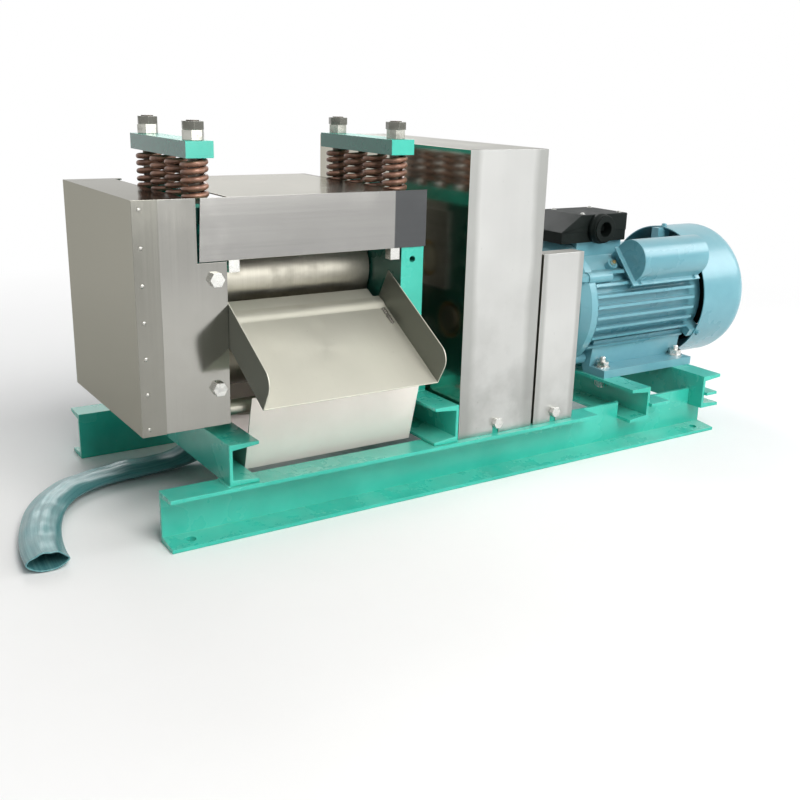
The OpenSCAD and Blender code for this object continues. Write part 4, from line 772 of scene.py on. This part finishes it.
def make_hose():
    """The lay-flat juice hose with its wall, open at the far end."""
    frames = hose_frames()
    shape = bmesh.new()
    uv = shape.loops.layers.uv.new("along_hose")
    marks = [0.0]
    for (before, _, _), (place, _, _) in zip(frames, frames[1:]):
        marks.append(marks[-1] + (place - before).length)
    outer = list(range(len(frames)))
    order = [(i, 0.0) for i in outer] + [(i, HOSE_WALL) for i in reversed(outer)]
    rows = [[shape.verts.new(p) for p in hose_ring(*frames[i], marks[i], inset)] for i, inset in order]
    for r in range(len(rows)):
        n = (r + 1) % len(rows)
        for k in range(HOSE_SIDES):
            m = (k + 1) % HOSE_SIDES
            face = shape.faces.new((rows[r][k], rows[r][m], rows[n][m], rows[n][k]))
            face.smooth = True
            for loop, (row, side) in zip(face.loops, ((r, k), (r, k + 1), (n, k + 1), (n, k))):
                loop[uv].uv = (side / HOSE_SIDES, marks[order[row][0]])
    bmesh.ops.recalc_face_normals(shape, faces=shape.faces)
    piece = built("lay_flat_hose", shape, HOSE)
    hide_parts("juice_hose")


def solid_piece(name, outline, direction, depth, edge, finish):
    """A flat outline drawn out along a direction, its edges rounded off; it rides on the base."""
    shape = bmesh.new()
    reach = Vector(direction).normalized() * depth
    near = [shape.verts.new(p) for p in outline]
    far = [shape.verts.new(Vector(p) + reach) for p in outline]
    count = len(outline)
    shape.faces.new(near)
    shape.faces.new(list(reversed(far)))
    for i in range(count):
        j = (i + 1) % count
        shape.faces.new((near[j], near[i], far[i], far[j]))
    bmesh.ops.recalc_face_normals(shape, faces=shape.faces)
    bmesh.ops.bevel(shape, geom=shape.edges[:], offset=edge, segments=2, affect="EDGES", profile=0.6)
    built(name, shape, finish)


def turned_piece(name, profile, centre, axis, finish):
    """A ring or cap turned from a profile of (distance along the axis, radius); it rides on the base."""
    shape = bmesh.new()
    along = Vector(axis).normalized()
    across = along.orthogonal().normalized()
    other = along.cross(across)
    steps = 48
    rows = []
    for k in range(steps):
        angle = 2 * math.pi * k / steps
        out = across * math.cos(angle) + other * math.sin(angle)
        rows.append([shape.verts.new(Vector(centre) + along * z + out * r) for z, r in profile])
    count = len(profile)
    for k in range(steps):
        a, b = rows[k], rows[(k + 1) % steps]
        for i in range(count):
            j = (i + 1) % count
            shape.faces.new((a[i], a[j], b[j], b[i])).smooth = True
    bmesh.ops.recalc_face_normals(shape, faces=shape.faces)
    built(name, shape, finish)


# Seam of the gear cover, and how far a fitting reaches into what carries it
SEAM_T = 0.9 * MM
SEAM_W = 28 * MM
SUNK = 0.2 * MM


def make_cover_seam():
    """The side sheet of the gear cover, folded over onto its front and riveted there."""
    low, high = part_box("gear_cover")
    y = low.y + SUNK
    end = low.x + SEAM_W
    outline = [(low.x, y, low.z), (end, y, low.z), (end, y, high.z), (low.x, y, high.z)]
    solid_piece("cover_seam", outline, (0, -1, 0), SEAM_T + SUNK, 0.35 * MM, SEAM_SHEET)


def make_rivets():
    """A row of rivets down the gear cover's front edge."""
    low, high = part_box("gear_cover")
    count = 7
    inset = 8 * MM
    top = high.z - 9.5 * MM
    pitch = 39.4 * MM
    face = low.y - SEAM_T
    places = [(Vector((low.x + inset, face, top - i * pitch)), (0, -1, 0)) for i in range(count)]
    grow("cover_rivets", points_mesh("rivet_places", places), rivet_tree(), {
        "Radius": 2.3 * MM, "Dome": 0.45, "Finish": RIVET})


def channel_welds(name, web):
    """Weld lines where a cross channel's web, its low (0) or high (1) side, stands on the two rails."""
    low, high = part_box(name)
    x = (low, high)[web].x
    runs = []
    for rail in ("front_rail", "rear_rail"):
        near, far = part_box(rail)
        start = max(near.y, low.y) + 2 * MM
        end = min(far.y, high.y) - 2 * MM
        runs.append((Vector((x, start, low.z)), Vector((x, end, low.z))))
    return runs


def make_welds():
    """Welds of the base frame and the cheeks, under the same paint."""
    runs = channel_welds("left_cross_channel", 0) + channel_welds("right_cross_channel", 1)
    side_inset, end_inset = 4 * MM, 3 * MM
    for side in ("left", "right"):
        low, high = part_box(side + "_foot_plate")
        cheek_low, cheek_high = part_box(side + "_cheek")
        for x in (cheek_low.x, cheek_high.x):
            runs.append((Vector((x, low.y + side_inset, high.z)), Vector((x, high.y - side_inset, high.z))))
        for y in (low.y, high.y):
            runs.append((Vector((low.x + end_inset, y, low.z)), Vector((high.x - end_inset, y, low.z))))
    rail_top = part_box("left_cross_channel")[0].z
    for name in ("inner_motor_channel", "outer_motor_channel"):
        low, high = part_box(name)
        for rail in ("front_rail", "rear_rail"):
            near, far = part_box(rail)
            y = far.y if rail == "front_rail" else near.y
            for x in (low.x, high.x):
                runs.append((Vector((x, y, low.z + end_inset)), Vector((x, y, rail_top - 1 * MM))))
    grow("frame_welds", lines_mesh("weld_lines", runs), WELD, {
        "Width": 5.5 * MM, "Pitch": 2.2 * MM, "Rise": 0.5, "Seed": 11, "Finish": GREEN})


# Small fittings of the motor: turns about its axis, from the top towards the front, and distances
CAN_TURN = math.radians(48.7)
CAN_FLANGE_R = 100.2 * MM
CAN_FLANGE_ACROSS = -34.5 * MM
CAN_INSETS = (16 * MM, 12 * MM)
COWL_TURNS = (0, 120, 240)
COWL_SET = 8 * MM
EAR_TURNS = (57, 147, 237, 327)
EAR_SET = 10 * MM
EAR_SUNK = 2 * MM
EARTH_TURN = math.radians(45)
EARTH_R = 88 * MM
EARTH_SET = 13.5 * MM
EARTH_BOSS = 8 * MM


def outwards(turn):
    """The direction at a turn about an axis along X, from the top towards the front."""
    return Vector((0, -math.sin(turn), math.cos(turn)))


def motor_round():
    """The motor's axis, from its fan cowl."""
    low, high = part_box("fan_cowl")
    return Vector((0, (low.y + high.y) / 2, (low.z + high.z) / 2))


def make_motor_screws():
    """Painted screws that hold the fan cowl on the frame's lugs."""
    low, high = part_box("fan_cowl")
    start = motor_round() + Vector((low.x + COWL_SET, 0, 0))
    radius = (high.z - low.z) / 2
    ways = [outwards(math.radians(turn)) for turn in COWL_TURNS]
    screws("cowl_screws", [(start + out * radius, tuple(out)) for out in ways], (4.0, 3.2, 5.2, 1.2),
        MOTOR)


def make_bell_ears():
    """Ears with bolts round the joint of the end bell and the barrel."""
    low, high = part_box("motor_end_bell")
    start = motor_round() + Vector((high.x + EAR_SET, 0, 0))
    radius = (high.z - low.z) / 2 - EAR_SUNK
    places = [(start + outwards(math.radians(turn)) * radius, (-1, 0, 0)) for turn in EAR_TURNS]
    screws("bell_ears", places, (7.4, 29, 8.8, 46), MOTOR)


def make_bolt_ends():
    """The threaded ends that stand above the nuts of the motor's feet."""
    low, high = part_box("motor_bolts")
    inset = 12 * MM
    places = [(Vector((x, y, high.z)), (0, 0, 1))
        for x in (low.x + inset, high.x - inset) for y in (low.y + inset, high.y - inset)]
    screws("foot_bolt_ends", places, (4.4, 5.4, 4.9, 11), ZINC)


def make_small_screws():
    """Painted screws on the capacitor cover's flange, and the brass earth screw on its boss."""
    axis = motor_round()
    out = outwards(CAN_TURN)
    side = Vector((0, math.cos(CAN_TURN), math.sin(CAN_TURN)))
    low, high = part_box("capacitor_cover")
    seat = axis + out * CAN_FLANGE_R + side * CAN_FLANGE_ACROSS
    ends = (low.x + CAN_INSETS[0], high.x - CAN_INSETS[1])
    places = [(seat + Vector((x, 0, 0)), tuple(out)) for x in ends]
    screws("can_screws", places, (2.7, 2.4, 3.8, 1.0), MOTOR)
    out = outwards(EARTH_TURN)
    place = axis + out * EARTH_R + Vector((low.x - EARTH_SET, 0, 0))
    screws("earth_boss", [(place, tuple(out))], (6.0, 7.0, 8.0, 12), MOTOR)
    place = place + out * EARTH_BOSS
    screws("earth_screw", [(place, tuple(out))], (3.4, 3.0, 5.0, 1.4), BRONZE)


# Collar of the gland, in mm: places along its axis and radii there
COLLAR = ((-1, 19), (-1, 22.4), (6, 22.4), (8, 21.6), (9, 20.6), (13, 20.6), (14, 20), (14, 19))


def make_box_fittings():
    """The terminal box's lid with its screws, and the collar of its gland."""
    low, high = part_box("terminal_box")
    gland = 16 * MM
    front = low.y + gland
    lip = 0.8 * MM
    slope = 38 * MM
    step = 15 * MM
    left, right = low.x - lip, high.x + lip
    seam_z, top_z = low.z + step, high.z + lip
    y = front - lip
    outline = [(left, y, seam_z), (right, y, seam_z), (right, y, top_z), (left + slope, y, top_z),
        (left, y, seam_z + 1.5 * MM)]
    solid_piece("box_lid", outline, (0, 1, 0), high.y - front + 2 * lip, 1.4 * MM, BLACK)
    inset = 9 * MM
    places = [(Vector((x, y, top_z - SUNK)), (0, 0, 1))
        for x in (left + slope + inset, right - inset) for y in (front + inset, high.y - inset)]
    screws("lid_screws", places, (3.0, 1.8, 4.2, 1.2), ZINC)
    gland_across, gland_up = 34 * MM, 20 * MM
    middle = Vector((low.x + slope + gland_across, front, low.z + gland_up))
    profile = [(along * MM, radius * MM) for along, radius in COLLAR]
    turned_piece("gland_collar", profile, middle, (0, -1, 0), BLACK)


# Discharge chute: the foot of its floor, its slope, its length and its sheet
CHUTE_FOOT = Vector((0, -207.91 * MM, 165.9 * MM))
CHUTE_TURN = math.radians(30.5)
CHUTE_RUN = 156.1 * MM
CHUTE_T = 1.5 * MM


def on_chute(x, run, rise):
    """A place on the discharge chute: across, up its slope, and above its floor."""
    up = Vector((0, math.cos(CHUTE_TURN), math.sin(CHUTE_TURN)))
    return CHUTE_FOOT + Vector((x, 0, 0)) + up * run + outwards(CHUTE_TURN) * (CHUTE_T + rise)


def make_chute_lip():
    """The rolled lip at the head of the discharge chute, and the weld of its right side."""
    low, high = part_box("discharge_chute")
    gap = 2.2 * MM
    wide = 25 * MM
    bulge = 2.2 * MM
    steps = 16
    outline = []
    for i in range(steps + 1):
        share = i / steps
        rise = bulge * (1 - math.cos(2 * math.pi * share)) / 2 - 0.1 * MM
        outline.append(on_chute(low.x + gap, CHUTE_RUN - wide * share, rise))
    length = high.x - low.x - 2 * gap
    solid_piece("chute_lip", outline, (1, 0, 0), length, 0.04 * MM, CHUTE_SHEET)
    edge = high.x - 8 * MM
    beads = ((106, 120), (124, 131))
    runs = [(on_chute(edge, start * MM, 0), on_chute(edge, end * MM, 0)) for start, end in beads]
    grow("chute_weld", lines_mesh("chute_weld_lines", runs), WELD, {
        "Width": 6 * MM, "Pitch": 2.6 * MM, "Rise": 0.5, "Seed": 5, "Finish": BURNT})


# CAD nodes by the width of their rounded edges
SOFT_EDGES = {
    1.2 * MM: "front_rail rear_rail left_cross_channel right_cross_channel inner_motor_channel "
        "outer_motor_channel left_cheek right_cheek left_foot_plate right_foot_plate left_spring_bar "
        "right_spring_bar left_pressure_bar right_pressure_bar",
    0.5 * MM: "gear_cover hood drive_cover coupling_guard discharge_chute juice_tray feed_chute "
        "stud_nuts cover_bolts motor_bolts hood_blocks",
    1.0 * MM: "motor_frame capacitor_cover top_roller front_roller rear_roller",
    2.0 * MM: "terminal_box"}


def soften_edges():
    """Small rounded edges on the CAD nodes that show."""
    for width, names in SOFT_EDGES.items():
        for name in names.split():
            node = NODES[name]
            weld = node.modifiers.new("joined", "WELD")
            weld.merge_threshold = 0.00001
            flat = node.modifiers.new("whole_faces", "DECIMATE")
            flat.decimate_type = "DISSOLVE"
            flat.angle_limit = math.radians(0.4)
            bevel = node.modifiers.new("soft_edge", "BEVEL")
            bevel.width = width
            bevel.segments = 2
            bevel.limit_method = "ANGLE"
            bevel.angle_limit = math.radians(35)
            bevel.use_clamp_overlap = True
            normals = node.modifiers.new("even_shade", "WEIGHTED_NORMAL")
            normals.keep_sharp = False
            for face in node.data.polygons:
                face.use_smooth = True


def area_lamp(name, place, target, size, energy, colour):
    """A soft square lamp that looks at a point."""
    lamp = bpy.data.lights.new(name, "AREA")
    lamp.shape = "SQUARE"
    lamp.size = size
    lamp.energy = energy
    lamp.color = colour
    holder = bpy.data.objects.new(name, lamp)
    holder.location = place
    holder.rotation_euler = (Vector(target) - Vector(place)).to_track_quat("-Z", "Y").to_euler()
    bpy.context.collection.objects.link(holder)


def shown_rays(tree):
    """1 for rays that look at the backdrop directly, in gloss or through glass."""
    rays = add(tree, "ShaderNodeLightPath").outputs
    seen = maths(tree, "MAXIMUM", rays["Is Camera Ray"], rays["Is Glossy Ray"])
    return maths(tree, "MAXIMUM", seen, rays["Is Transmission Ray"])


# The surround lights the mill's end less: between two places along X, and its strengths there
SKY_FALL = (-0.85, -0.25, 0.10, 0.32)
# The floor turns into white paper between these distances from the middle
PAPER_FROM, PAPER_TO = 0.75, 1.7


def set_stage():
    """Pale floor, white surround and soft studio lamps."""
    floor_mesh = bpy.data.meshes.new("studio_floor")
    half = 14.0
    drop = -0.0004
    corners = ((-half, -half), (half, -half), (half, half), (-half, half))
    floor_mesh.from_pydata([(x, y, drop) for x, y in corners], [], [(0, 1, 2, 3)])
    floor = linked("studio_floor", floor_mesh)
    plain = {"Roughness": 0.9, "Specular IOR Level": 0.1}
    material, tree, shader, place = start_material("pale_floor", plain)
    grain = clouds(tree, place, 3.0, 0.3, 0.7)
    tone = mix(tree, grain, (0.90, 0.90, 0.90, 1), (0.92, 0.92, 0.92, 1))
    tree.links.new(tone, shader.inputs["Base Color"])
    away = add(tree, "ShaderNodeVectorMath", {0: place}, operation="LENGTH").outputs["Value"]
    far = times(tree, spread(tree, away, PAPER_FROM, PAPER_TO), shown_rays(tree))
    paper = result(tree, "ShaderNodeEmission", {"Color": (1, 1, 1, 1), "Strength": 1.0})
    both = result(tree, "ShaderNodeMixShader", {0: far, 1: shader.outputs[0], 2: paper})
    tree.links.new(both, tree.nodes["Material Output"].inputs["Surface"])
    floor_mesh.materials.append(material)
    world = bpy.data.worlds.new("white_surround")
    world.use_nodes = True
    sky = world.node_tree
    sky.nodes.clear()
    aim = part_of(sky, add(sky, "ShaderNodeTexCoord").outputs["Generated"], 0)
    level = spread(sky, aim, *SKY_FALL)
    soft = result(sky, "ShaderNodeBackground", {"Color": (0.97, 0.99, 1.0, 1), "Strength": level})
    white = result(sky, "ShaderNodeBackground", {"Color": (1, 1, 1, 1), "Strength": 1.0})
    both = result(sky, "ShaderNodeMixShader", {0: shown_rays(sky), 1: soft, 2: white})
    add(sky, "ShaderNodeOutputWorld", {"Surface": both})
    bpy.context.scene.world = world
    area_lamp("key_lamp", (-0.2, -2.4, 2.5), (0, 0, 0.2), 1.8, 80.0, (1.0, 0.98, 0.95))
    area_lamp("low_lamp", (0.5, -2.6, 0.8), (0, 0, 0.2), 1.2, 15.0, (1.0, 0.99, 0.97))
    area_lamp("side_lamp", (2.4, -1.2, 1.6), (0.1, 0, 0.2), 1.4, 34.0, (0.96, 0.98, 1.0))
    area_lamp("back_lamp", (0.6, 2.6, 2.2), (0, 0, 0.3), 1.8, 40.0, (1.0, 1.0, 1.0))
    bpy.context.scene.view_settings.view_transform = "Standard"


set_camera()
make_hose()
make_springs()
paint_nodes()
make_cover_seam()
make_rivets()
make_welds()
make_motor_screws()
make_bell_ears()
make_bolt_ends()
make_small_screws()
make_box_fittings()
make_chute_lip()
soften_edges()
set_stage()
